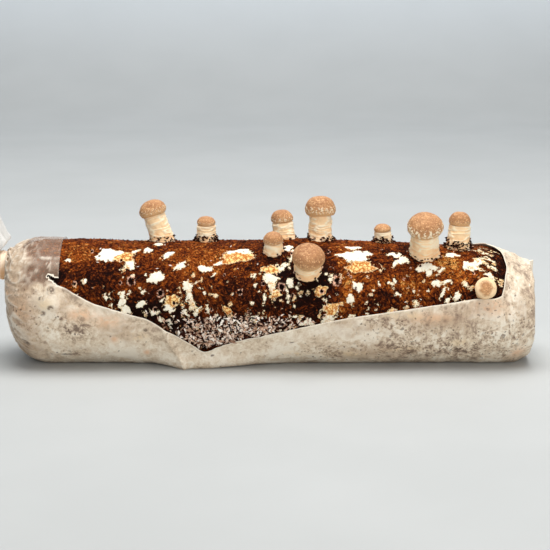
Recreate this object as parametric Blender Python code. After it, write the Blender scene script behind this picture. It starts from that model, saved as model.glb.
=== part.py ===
"""A shiitake grow block: a log of sawdust in its plastic bag, with ten young mushrooms.

The log lies along X. Its front faces -Y, +Z is up, and the origin is on the surface
that it rests on, under the middle of its flattened underside. Angles round the log are
counted from the top, over the front and down, so 90 degrees is the front and 180 the
underside. All lengths are in metres.
"""

import math

import bmesh
import bpy
import numpy as np

# The log
LOG_RADIUS = 0.0485
LEFT_END = -0.206
RIGHT_END = 0.2035
LEFT_ROUNDING = 0.030
LEFT_END_RISE = 0.012
LEFT_TURNS = np.radians([90, 72, 54, 36, 18, 0])
SWELL_HEIGHT = 0.0008
MIDDLE_END = 0.160
MIDDLE_RINGS = 17
LOG_SIDES = 36

# Towards the right the log grows a little thinner, and it ends in a blunt, drooping cone
RIGHT_TAPER = 0.0024
CONE_START = 0.168
CONE_DROP = 0.0062
CONE_POWER = 1.5
CONE_CORNER = 0.0028
CONE_PLACES = (0.168, 0.176, 0.184, 0.1915, 0.198, RIGHT_END)

# The bag: its film, the slack between film and log, and the angle that lies flat
FILM = 0.0006
SLACK = 0.0009
FILM_RADIUS = LOG_RADIUS + SLACK + FILM
REST_ANGLE = math.radians(20)
AXIS_HEIGHT = FILM_RADIUS * math.cos(REST_ANGLE)
BAG_SIDES = 32
UNDERSIDE = (math.radians(150), math.radians(210))
UNDERSIDE_STEPS = 6

# The bag's rings along the log, those past the window's corner with their share of its slide
# back, and the angles of their side points beyond the window's ends
BAG_PLACES = (
    -0.176, -0.1635, -0.150, -0.137, -0.123, -0.109, -0.095, -0.083, -0.073, -0.062, -0.051,
    -0.040, -0.027, -0.010, 0.012, 0.033, 0.054, 0.075, 0.096, 0.117, 0.138, 0.158,
)
BAG_END_PLACES = (0.1945, 0.200, RIGHT_END)
PAST_CORNER = ((0.1835, 0.55), (0.190, 0.2))
LEFT_SIDE_ANGLE = math.radians(62)
RIGHT_SIDE_ANGLE = math.radians(60)
PAST_CORNER_BACK = math.radians(54)

# The window cut in the bag: its edges as (place along the log, angle from the top)
WINDOW_LEFT = -0.1635
FRONT_EDGE = (
    (-0.164, 64), (-0.137, 80), (-0.095, 95), (-0.071, 112), (-0.051, 128.5),
    (-0.027, 118), (0.027, 101), (0.058, 93.5), (0.101, 85.5), (0.157, 74.5), (0.179, 69.5),
)
BACK_EDGE = ((-0.164, 56), (-0.120, 66), (-0.040, 74), (0.060, 70), (0.179, 48))
WINDOW_STEPS = 6

# The window's right end: how far it falls short of the front corner, by angle from the top
FRONT_CORNER = 0.179
RIGHT_END_SHAPE = (
    (-48, -0.036), (-30, -0.024), (-11, -0.009), (3, -0.002), (14, 0.0035), (36, 0.006),
    (60, 0.0025), (69.5, 0.0),
)
BACK_LIMIT = 48

# The flap below the window's lowest point hangs clear of the log, with one fold in it
FLAP_CENTRE = -0.058
FLAP_LEFT = 0.050
FLAP_RIGHT = 0.085
FLAP_REACH = 0.0115
FLAP_DROP = 0.003
FLAP_ANGLE = 150
FLAP_SPREAD = 17
FOLD_TOP = -0.081
FOLD_FOOT = -0.064
FOLD_HEIGHT = 0.003
FOLD_WIDTH = 0.009

# The film stands off the log's left end at the top, like a tent, up to the gathered neck
TENT_HEIGHT = 0.0008
TENT_RISE = 0.0075

# The gathered neck, its band and the tail above it
NECK_CENTRE = (-0.2132, 0.0, 0.0758)
NECK_RADIUS = 0.0070
NECK_LEAN = math.radians(3)
NECK_RIPPLE = 0.0005
SHOULDER = (-0.0052, 0.0104, 0.0120)
TAIL_LEAN = math.radians(52)
PLEATS = 8
PLEAT_DEPTH = 0.0012
BAND_WIDTH = 0.0075
BAND_THICKNESS = 0.0032
TAIL_START = 0.0018
TAIL_LENGTH = 0.040
TAIL_THICKNESS = 0.0035

# The tail's rings: share of its length, lean of the ring, its spread upwards and downwards
TAIL_RINGS = (
    (1.0, 60, 0.026, 0.022), (0.68, 52, 0.026, 0.019), (0.36, 47, 0.0245, 0.015),
    (0.14, 40, 0.0215, 0.010), (0.06, 15, 0.013, 0.0085),
)

# The heat-sealed fin down the right end, which leans out at the top
SEAL_RISE = 0.0015
SEAL_HALF_HEIGHT = 0.0365
SEAL_WIDTH = 0.0036
SEAL_THICKNESS = 0.0012
SEAL_SLANT = 0.0012
SEAL_EAR = 0.0008
SEAL_FOOT = 0.0004

# The mushrooms: place along the log, angle round it, lean to the front, lean to the left,
# cap radius, cap height, stem radius, stem length; lengths here in millimetres
MUSHROOMS = (
    (-86.0, -7, 1, 17, 10.9, 10.7, 9.0, 22.4),
    (-50.9, -7, 4, 0, 7.2, 6.2, 7.7, 12.7),
    (11.4, -11, -1, 6, 8.8, 9.6, 9.0, 14.8),
    (2.7, 23.5, 16, 1, 7.6, 7.8, 7.4, 7.4),
    (40.3, -7, 1, 0.5, 11.8, 14.0, 9.3, 21.9),
    (29.6, 46, 36, 0, 12.7, 11.5, 10.0, 9.5),
    (90.4, -4, 4, 4, 6.7, 5.3, 7.1, 9.8),
    (121.5, 21, 24, 2, 13.9, 12.6, 11.2, 21.2),
    (149.6, 3, 4, -2, 8.6, 9.8, 9.0, 18.2),
    (166.0, 65, 68, 0, 8.4, 4.8, 7.2, 9.2),
)
CAP_SIDES = 12
TOUCH_GAP = 0.0003

# Outlines as shares: stem (height, width), cap (width, height), and where the cap's rim rolls in
STEM_OUTLINE = ((0.22, 1.0), (0.60, 0.94), (0.97, 0.92), (1.0, 0.84))
FOOT_WIDTH = 1.06
LOW_FOOT_WIDTH = 0.80
LOW_FOOT_ANGLE = 60
FOOT_BLEND = 1.4
CAP_OUTLINE = ((0.45, 0.94), (0.76, 0.76), (0.94, 0.50), (1.0, 0.27), (0.97, 0.08))
ROLLED_RIM = ((0.88, -0.06), (0.78, 0.0))
PLAIN_RIM = ((0.88, 0.0),)


def new_material(name, colour, roughness):
    """A plain material with one colour and no metal."""
    material = bpy.data.materials.new(name)
    material.use_nodes = True
    shader = material.node_tree.nodes["Principled BSDF"]
    shader.inputs["Base Color"].default_value = (*colour, 1.0)
    shader.inputs["Roughness"].default_value = roughness
    shader.inputs["Metallic"].default_value = 0.0
    return material


def new_object(name, build, material):
    """An object whose mesh is made by build(bm), with its faces turned outwards."""
    bm = bmesh.new()
    build(bm)
    bmesh.ops.recalc_face_normals(bm, faces=bm.faces)
    mesh = bpy.data.meshes.new(name)
    bm.to_mesh(mesh)
    bm.free()
    mesh.shade_smooth()
    mesh.set_sharp_from_angle(angle=math.radians(40))
    mesh.materials.append(material)
    body = bpy.data.objects.new(name, mesh)
    bpy.context.scene.collection.objects.link(body)
    return body


def loft(bm, rings, start=None, end=None, closed=False):
    """Skins a row of rings of equal size; start and end are centre points that close it."""
    rows = [[bm.verts.new(point) for point in ring] for ring in rings]
    sides = len(rows[0])
    pairs = list(zip(rows, rows[1:]))
    if closed:
        pairs.append((rows[-1], rows[0]))
    for row, following in pairs:
        for k in range(sides):
            after = (k + 1) % sides
            bm.faces.new((row[k], row[after], following[after], following[k]))
    for row, centre in ((rows[0], start), (rows[-1], end)):
        if centre is not None:
            hub = bm.verts.new(centre)
            for k in range(sides):
                bm.faces.new((row[k], row[(k + 1) % sides], hub))


def smooth_step(value, low, high):
    """0 below low, 1 above high, and a smooth rise between."""
    t = np.clip((np.asarray(value, float) - low) / (high - low), 0.0, 1.0)
    return t * t * (3.0 - 2.0 * t)


def swelling(x, angle):
    """Low swells of the log's skin, fading to none over the underside."""
    swell = np.sin(x / 0.021 + 2.0 * np.sin(angle)) * np.cos(2.0 * angle + x / 0.037)
    swell += 0.6 * np.sin(x / 0.034 - 3.0 * angle)
    above = smooth_step(-np.cos(angle), 0.85, 0.45)
    return SWELL_HEIGHT * swell * above


def right_end(x):
    """How much the log's radius shrinks and its axis falls towards the right end."""
    taper = RIGHT_TAPER * smooth_step(x, 0.0, RIGHT_END)
    share = np.clip((np.asarray(x, float) - CONE_START) / (RIGHT_END - CONE_START), 0.0, 1.0)
    cone = taper + CONE_DROP * share**CONE_POWER
    corner = CONE_CORNER * share**6
    return cone + corner, cone - corner


def log_profile():
    """Rings of the log from end to end: place along it, radius, and rise of the centre."""
    left = [
        (
            LEFT_END + LEFT_ROUNDING * (1 - math.sin(turn)),
            LOG_RADIUS - LEFT_ROUNDING * (1 - math.cos(turn)),
            LEFT_END_RISE * (1 - math.cos(turn)),
        )
        for turn in LEFT_TURNS
    ]
    middle = [(x, LOG_RADIUS, 0.0) for x in np.linspace(WINDOW_LEFT, MIDDLE_END, MIDDLE_RINGS)]
    right = [(x, LOG_RADIUS, 0.0) for x in CONE_PLACES]
    return left + middle + right


def round_log(x, angle, radius, rise, proud):
    """Points of the log's skin, or of a film that stands proud of it, flattened below."""
    x, angle = np.broadcast_arrays(np.asarray(x, float), np.asarray(angle, float))
    shrink, fall = right_end(x)
    reach = radius - shrink + proud + swelling(x, angle)
    y = -reach * np.sin(angle)
    z = AXIS_HEIGHT + rise - fall + reach * np.cos(angle)
    floor = FILM + SLACK - proud
    return np.stack([x, y, np.maximum(z, floor)], axis=-1)


def build_log(bm):
    angles = np.linspace(0, 2 * math.pi, LOG_SIDES, endpoint=False)
    profile = log_profile()
    rings = [round_log(x, angles, radius, rise, 0.0) for x, radius, rise in profile]
    left_hub = (LEFT_END, 0.0, AXIS_HEIGHT + LEFT_END_RISE)
    right_hub = (RIGHT_END, 0.0, AXIS_HEIGHT - right_end(RIGHT_END)[1])
    loft(bm, rings, start=left_hub, end=right_hub)


def edge_angle(edge, x):
    """The angle of one of the window's edges at places along the log."""
    places, angles = zip(*edge)
    return np.radians(np.interp(x, places, angles))


def bag_angles(front, back):
    """The angles of a bag ring's points: the window's part, the sides, the underside."""
    low, high = UNDERSIDE
    turn = 2 * math.pi
    side = (BAG_SIDES - UNDERSIDE_STEPS) // 2 - WINDOW_STEPS
    over_front = np.linspace(0.5 * (front - back), front, WINDOW_STEPS + 1)[:-1]
    down_front = np.linspace(front, low, side + 1)[:-1]
    under = np.linspace(low, high, UNDERSIDE_STEPS + 1)[:-1]
    up_back = np.linspace(high, turn - back, side + 1)[:-1]
    over_back = np.linspace(turn - back, turn + 0.5 * (front - back), WINDOW_STEPS + 1)[:-1]
    return np.concatenate([over_front, down_front, under, up_back, over_back])


def hang_flap(points, angles):
    """Moves the film below the window's lowest point off the log, and raises its fold."""
    x = points[..., 0]
    fade = smooth_step(x, FLAP_CENTRE - FLAP_LEFT, FLAP_CENTRE)
    fade *= smooth_step(x, FLAP_CENTRE + FLAP_RIGHT, FLAP_CENTRE)
    degrees = np.degrees(angles)
    low_front = np.exp(-(((degrees - FLAP_ANGLE) / FLAP_SPREAD) ** 2))
    down = smooth_step(degrees, 100, 160)
    fold_line = FOLD_TOP + (FOLD_FOOT - FOLD_TOP) * down
    fold = np.exp(-(((x - fold_line) / FOLD_WIDTH) ** 2)) * (down > 0) * (degrees < 180)
    fold = fold * smooth_step(degrees, 176, FLAP_ANGLE)
    points[..., 1] -= FLAP_REACH * fade * low_front + FOLD_HEIGHT * fold
    points[..., 2] -= FLAP_DROP * fade * low_front
    return points


def bag_ring(x, front, back, proud, radius=LOG_RADIUS, rise=0.0, shift_share=0.0):
    """One ring of the bag round the log; proud is how far it stands off the log's skin."""
    angles = bag_angles(front, back)
    place = x + shift_share * back_shift(x, angles)
    points = round_log(place, angles, radius, rise, proud)
    points = hang_flap(points, angles)
    floor = FILM + SLACK - proud
    points[..., 2] = np.maximum(points[..., 2], floor)
    return points


def back_shift(x, angles):
    """How far the bag's points slide back along the log towards the window's right end."""
    turn = 2 * math.pi
    signed = np.where(angles > math.pi, angles - turn, angles)
    places, shifts = zip(*RIGHT_END_SHAPE)
    shift = np.interp(np.degrees(signed), places, shifts, left=0.0, right=0.0)
    behind = np.degrees(-signed)
    fade = smooth_step(behind, 150, BACK_LIMIT)
    shift = np.where(behind > BACK_LIMIT, RIGHT_END_SHAPE[0][1] * fade, shift)
    return shift * smooth_step(x, 0.040, FRONT_CORNER)


def left_end_rings(proud):
    """The bag round the log's rounded left end, standing off it at the top like a tent."""
    rings = []
    for turn in LEFT_TURNS[:-1]:
        x = LEFT_END + LEFT_ROUNDING * (1 - math.sin(turn)) - proud * math.sin(turn)
        radius = LOG_RADIUS - LEFT_ROUNDING * (1 - math.cos(turn))
        rise = LEFT_END_RISE * (1 - math.cos(turn))
        ring = bag_ring(x, LEFT_SIDE_ANGLE, LEFT_SIDE_ANGLE, proud, radius, rise)
        top = smooth_step(np.cos(bag_angles(LEFT_SIDE_ANGLE, LEFT_SIDE_ANGLE)), 0.25, 1.0)
        ring[:, 2] += (TENT_HEIGHT + TENT_RISE * (1 - math.cos(turn)) ** 3) * top
        rings.append(ring)
    return rings


def pleated_ring(along, way, lean, spread, thick, depth, proud):
    """A pleated ring across the neck or tail: along is its distance out on a line that rises
    by the angle way, lean tips its plane, and spread is how far it goes upwards and downwards.
    """
    turns = np.arange(BAG_SIDES) / BAG_SIDES * 2 * math.pi
    angles = 0.5 * bag_angles(LEFT_SIDE_ANGLE, LEFT_SIDE_ANGLE) + 0.5 * turns
    pleat = depth * np.cos(PLEATS * turns) + proud
    wide = np.where(np.cos(angles) > 0, *spread)
    across = np.cos(angles) * (wide + pleat)
    depthwise = -np.sin(angles) * (thick + pleat)
    up = np.array([math.sin(lean), 0.0, math.cos(lean)])
    centre = np.array(NECK_CENTRE) + along * np.array([-math.cos(way), 0.0, math.sin(way)])
    return centre + np.outer(across, up) + np.outer(depthwise, [0.0, 1.0, 0.0])


def tail_and_neck_rings(proud):
    """The bag from the tail's cut end, down through the band, to the gathered shoulder."""
    rings = []
    for share, ring_lean, *spread in TAIL_RINGS:
        along = BAND_WIDTH / 2 + TAIL_LENGTH * share
        way = NECK_LEAN + (TAIL_LEAN - NECK_LEAN) * math.sqrt(share)
        thick = NECK_RADIUS + (TAIL_THICKNESS - NECK_RADIUS) * share
        depth = PLEAT_DEPTH * (1 - 0.3 * share)
        rings.append(pleated_ring(along, way, math.radians(ring_lean), spread, thick, depth, proud))
    round_neck = (NECK_RADIUS, NECK_RADIUS)
    for along in (BAND_WIDTH / 2 + TAIL_START, -BAND_WIDTH / 2 - 0.0005):
        ring = (along, NECK_LEAN, NECK_LEAN, round_neck, NECK_RADIUS, NECK_RIPPLE, proud)
        rings.append(pleated_ring(*ring))
    along, high, thick = SHOULDER
    ring = (along + proud, NECK_LEAN, NECK_LEAN, (high, high), thick, NECK_RIPPLE, proud)
    rings.append(pleated_ring(*ring))
    return rings


def bag_layer(proud, sealed):
    """One face of the film, as rings from the tail to the right end."""
    rings = tail_and_neck_rings(proud - SLACK)
    rings += left_end_rings(proud)
    first = len(rings) + 1
    last = len(rings) + len(BAG_PLACES)
    for x in BAG_PLACES + (FRONT_CORNER,):
        front = edge_angle(FRONT_EDGE, x)
        back = edge_angle(BACK_EDGE, x)
        rings.append(bag_ring(x, front, back, proud, shift_share=1.0))
    for x, share in PAST_CORNER:
        rings.append(bag_ring(x, RIGHT_SIDE_ANGLE, PAST_CORNER_BACK, proud, shift_share=share))
    for place in BAG_END_PLACES:
        beyond = proud * (place - CONE_START) / (RIGHT_END - CONE_START)
        rings.append(bag_ring(place + beyond, RIGHT_SIDE_ANGLE, RIGHT_SIDE_ANGLE, proud))
    if sealed:
        rings += seal_rings()
    return rings, first, last


def seal_rings():
    """The foot and the tip of the seal's fin."""
    height = np.cos(np.arange(BAG_SIDES) / BAG_SIDES * 2 * math.pi)
    side = np.repeat([0, -1, 0, 1], [1, BAG_SIDES // 2 - 1, 1, BAG_SIDES // 2 - 1])
    centre = AXIS_HEIGHT - right_end(RIGHT_END)[1] + SEAL_RISE
    rings = []
    for share, thickness in ((0.0, 2 * SEAL_THICKNESS), (1.0, SEAL_THICKNESS)):
        x = RIGHT_END + SLACK + FILM + SEAL_FOOT + share * (SEAL_WIDTH + SEAL_SLANT * height)
        y = side * thickness / 2
        ear = share * SEAL_EAR * np.abs(height) ** 8
        rings.append(np.stack([x, y, centre + height * (SEAL_HALF_HEIGHT + ear)], axis=1))
    return rings


def is_window(row, side, first, last):
    """Whether the cell after this ring and this side lies in the cut-out window."""
    in_length = first <= row < last
    return in_length and (side < WINDOW_STEPS or side >= BAG_SIDES - WINDOW_STEPS)


def zip_end(bm, ring):
    """Closes a ring with a strip across it, from its front half to its back half."""
    half = BAG_SIDES // 2
    for k in range(half):
        corners = [ring[k], ring[k + 1], ring[-k - 1], ring[-k % BAG_SIDES]]
        bm.faces.new(list(dict.fromkeys(corners)))


def build_bag(bm):
    """The film as a closed thin solid: an outer face, an inner face, and rims between."""
    outer, first, last = bag_layer(SLACK + FILM, sealed=True)
    inner = bag_layer(SLACK, sealed=False)[0]
    layers = [[[bm.verts.new(point) for point in ring] for ring in rows] for rows in (outer, inner)]
    for rows in layers:
        for row in range(len(rows) - 1):
            for side in range(BAG_SIDES):
                after = (side + 1) % BAG_SIDES
                if not is_window(row, side, first, last):
                    corners = (rows[row][side], rows[row][after])
                    bm.faces.new(corners + (rows[row + 1][after], rows[row + 1][side]))
        zip_end(bm, rows[-1])
    outside, inside = layers
    for row in range(first, last):
        for side in (WINDOW_STEPS, BAG_SIDES - WINDOW_STEPS):
            corners = (outside[row][side], outside[row + 1][side])
            bm.faces.new(corners + (inside[row + 1][side], inside[row][side]))
    for side in range(BAG_SIDES):
        after = (side + 1) % BAG_SIDES
        rims = [0]
        if is_window(first, side, first, last):
            rims += [first, last]
        for row in rims:
            corners = (outside[row][side], outside[row][after])
            bm.faces.new(corners + (inside[row][after], inside[row][side]))


def build_band(bm):
    """A rounded ring round the neck, held clear of the film's pleats."""
    hole = NECK_RADIUS + NECK_RIPPLE + FILM + TOUCH_GAP
    axis = np.array([-math.cos(NECK_LEAN), 0.0, math.sin(NECK_LEAN)])
    upward = np.array([math.sin(NECK_LEAN), 0.0, math.cos(NECK_LEAN)])
    turns = np.linspace(0, 2 * math.pi, 18, endpoint=False)
    rings = []
    for turn in np.linspace(0, 2 * math.pi, 8, endpoint=False):
        radius = hole + BAND_THICKNESS / 2 * (1 + math.cos(turn))
        along = BAND_WIDTH / 2 * math.sin(turn)
        around = np.outer(np.cos(turns), upward) + np.outer(np.sin(turns), [0.0, 1.0, 0.0])
        rings.append(np.array(NECK_CENTRE) + along * axis + radius * around)
    loft(bm, rings, closed=True)


def mushroom_axes(lean_front, lean_left):
    """The direction that a mushroom grows in, and two directions across it."""
    front, left = math.radians(lean_front), math.radians(lean_left)
    axis = np.array([-math.tan(left), -math.tan(front), 1.0])
    axis /= np.linalg.norm(axis)
    across = np.cross([0.0, 1.0, 0.0], axis)
    across /= np.linalg.norm(across)
    return axis, across, np.cross(axis, across)


def drop_to_log(points, axis):
    """Slides points down along axis to the log's skin, and leaves a gap there."""
    moved = np.array(points, float)
    for _ in range(30):
        shrink, fall = right_end(moved[:, 0])
        height = moved[:, 2] - AXIS_HEIGHT + fall
        angle = np.arctan2(-moved[:, 1], height)
        skin = LOG_RADIUS - shrink + swelling(moved[:, 0], angle)
        spare = np.hypot(moved[:, 1], height) - skin - TOUCH_GAP
        moved -= 0.6 * spare[:, None] * axis
    return moved


def grow_mushroom(number, size, cap_material, stem_material):
    """A stem that stands on the log's skin, and a domed cap with a rolled rim on it."""
    along, angle, lean_front, lean_left, *lengths = size
    cap_radius, cap_height, stem_radius, stem_length = (0.001 * value for value in lengths)
    axis, across, back = mushroom_axes(lean_front, lean_left)
    turns = np.linspace(0, 2 * math.pi, CAP_SIDES, endpoint=False)
    circle = np.outer(np.cos(turns), across) + np.outer(np.sin(turns), back)
    around = math.radians(angle)
    shrink, fall = right_end(0.001 * along)
    reach = LOG_RADIUS - shrink
    foot = np.array([0.001 * along, -reach * math.sin(around), reach * math.cos(around)])
    foot[2] += AXIS_HEIGHT - fall

    def build_stem(bm):
        hub = drop_to_log(foot[None, :], axis)[0]
        inner = drop_to_log(foot + 0.5 * stem_radius * circle, axis)
        foot_radius = (LOW_FOOT_WIDTH if angle > LOW_FOOT_ANGLE else FOOT_WIDTH) * stem_radius
        rim = drop_to_log(foot + foot_radius * circle, axis)
        rings = [inner, rim]
        for share, width in STEM_OUTLINE:
            level = foot + (stem_length - TOUCH_GAP) * share * axis
            ring = level + width * stem_radius * circle
            if share < 0.5:
                ring += (1 - FOOT_BLEND * share) * (rim - foot - foot_radius * circle)
            rings.append(ring)
        top = foot + (stem_length - TOUCH_GAP) * axis
        loft(bm, rings, start=hub, end=top)

    def build_cap(bm):
        base = foot + stem_length * axis
        rolled = 0.93 * cap_radius > stem_radius + 0.001
        outline = CAP_OUTLINE + (ROLLED_RIM if rolled else PLAIN_RIM)
        rings = [base + h * cap_height * axis + r * cap_radius * circle for r, h in outline]
        loft(bm, rings, start=base + cap_height * axis, end=base)

    new_object(f"stem_{number}", build_stem, stem_material)
    new_object(f"cap_{number}", build_cap, cap_material)


for old in list(bpy.data.objects):
    bpy.data.objects.remove(old)

substrate = new_material("brown_substrate", (0.13, 0.045, 0.018), 0.85)
milky_film = new_material("milky_film", (0.66, 0.60, 0.53), 0.35)
band_rubber = new_material("band_rubber", (0.78, 0.50, 0.34), 0.5)
cap_skin = new_material("cap_skin", (0.55, 0.36, 0.20), 0.6)
stem_flesh = new_material("stem_flesh", (0.82, 0.70, 0.54), 0.7)

new_object("substrate_block", build_log, substrate)
new_object("film_bag", build_bag, milky_film)
new_object("neck_band", build_band, band_rubber)
for order, mushroom in enumerate(MUSHROOMS, start=1):
    grow_mushroom(order, mushroom, cap_skin, stem_flesh)
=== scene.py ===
"""The looks of a shiitake grow block: a log of sawdust in a cut-open bag, with ten mushrooms.

Lengths are in metres, or in millimetres where a table says so. The log lies along X and its
front faces -Y. Angles round the log are counted from its top, over the front and down.
"""

import math
from collections import namedtuple

import bpy
import numpy as np
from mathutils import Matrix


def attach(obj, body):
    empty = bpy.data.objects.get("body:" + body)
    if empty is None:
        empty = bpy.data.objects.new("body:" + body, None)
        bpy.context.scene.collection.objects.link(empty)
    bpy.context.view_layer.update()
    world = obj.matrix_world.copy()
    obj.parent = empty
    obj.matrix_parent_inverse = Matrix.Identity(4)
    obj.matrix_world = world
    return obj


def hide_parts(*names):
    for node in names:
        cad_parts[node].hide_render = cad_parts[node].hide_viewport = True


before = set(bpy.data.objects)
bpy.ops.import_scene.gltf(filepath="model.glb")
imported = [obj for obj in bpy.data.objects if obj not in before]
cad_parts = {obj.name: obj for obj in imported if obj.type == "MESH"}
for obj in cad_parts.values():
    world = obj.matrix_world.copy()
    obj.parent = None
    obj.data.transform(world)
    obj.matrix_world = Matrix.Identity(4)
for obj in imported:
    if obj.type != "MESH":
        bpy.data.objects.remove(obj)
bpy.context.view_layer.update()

# The log: hardwood sawdust packed into a bag and bound hard by the fungus that grew through it.
# Its skin has turned brown, with white patches where fresh threads have broken out again, and
# little pits with pale rims. It lies on its own flattened underside.

LOG_RADIUS = 0.0485
LEFT_END = -0.206
RIGHT_END = 0.2035
LEFT_ROUNDING = 0.030
LEFT_END_RISE = 0.012
SWELL_HEIGHT = 0.0008
RIGHT_TAPER = 0.0024
CONE_START = 0.168
CONE_DROP = 0.0062
CONE_POWER = 1.5
CONE_CORNER = 0.0028
FILM = 0.0006
SLACK = 0.0009
FLAT_HALF_ANGLE = math.radians(20)
AXIS_HEIGHT = (LOG_RADIUS + SLACK + FILM) * math.cos(FLAT_HALF_ANGLE)
LOG_RADIUS_MM = 1000.0 * LOG_RADIUS
LOG_ROWS = 430
SEEN_COLUMNS, HIDDEN_COLUMNS = 176, 54
SEEN_FROM, SEEN_TO = -75.0, 150.0


def scattered(seed, count, *spans):
    """Rows of chance values: each column lies evenly between the low and high of its span, or
    crowds towards the high one where its span has a power below 1.
    """
    chance = np.random.default_rng(seed)
    columns = []
    for low, high, *power in spans:
        share = chance.uniform(0, 1, count) ** (power[0] if power else 1)
        columns.append(low + (high - low) * share)
    return tuple(zip(*columns))


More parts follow.
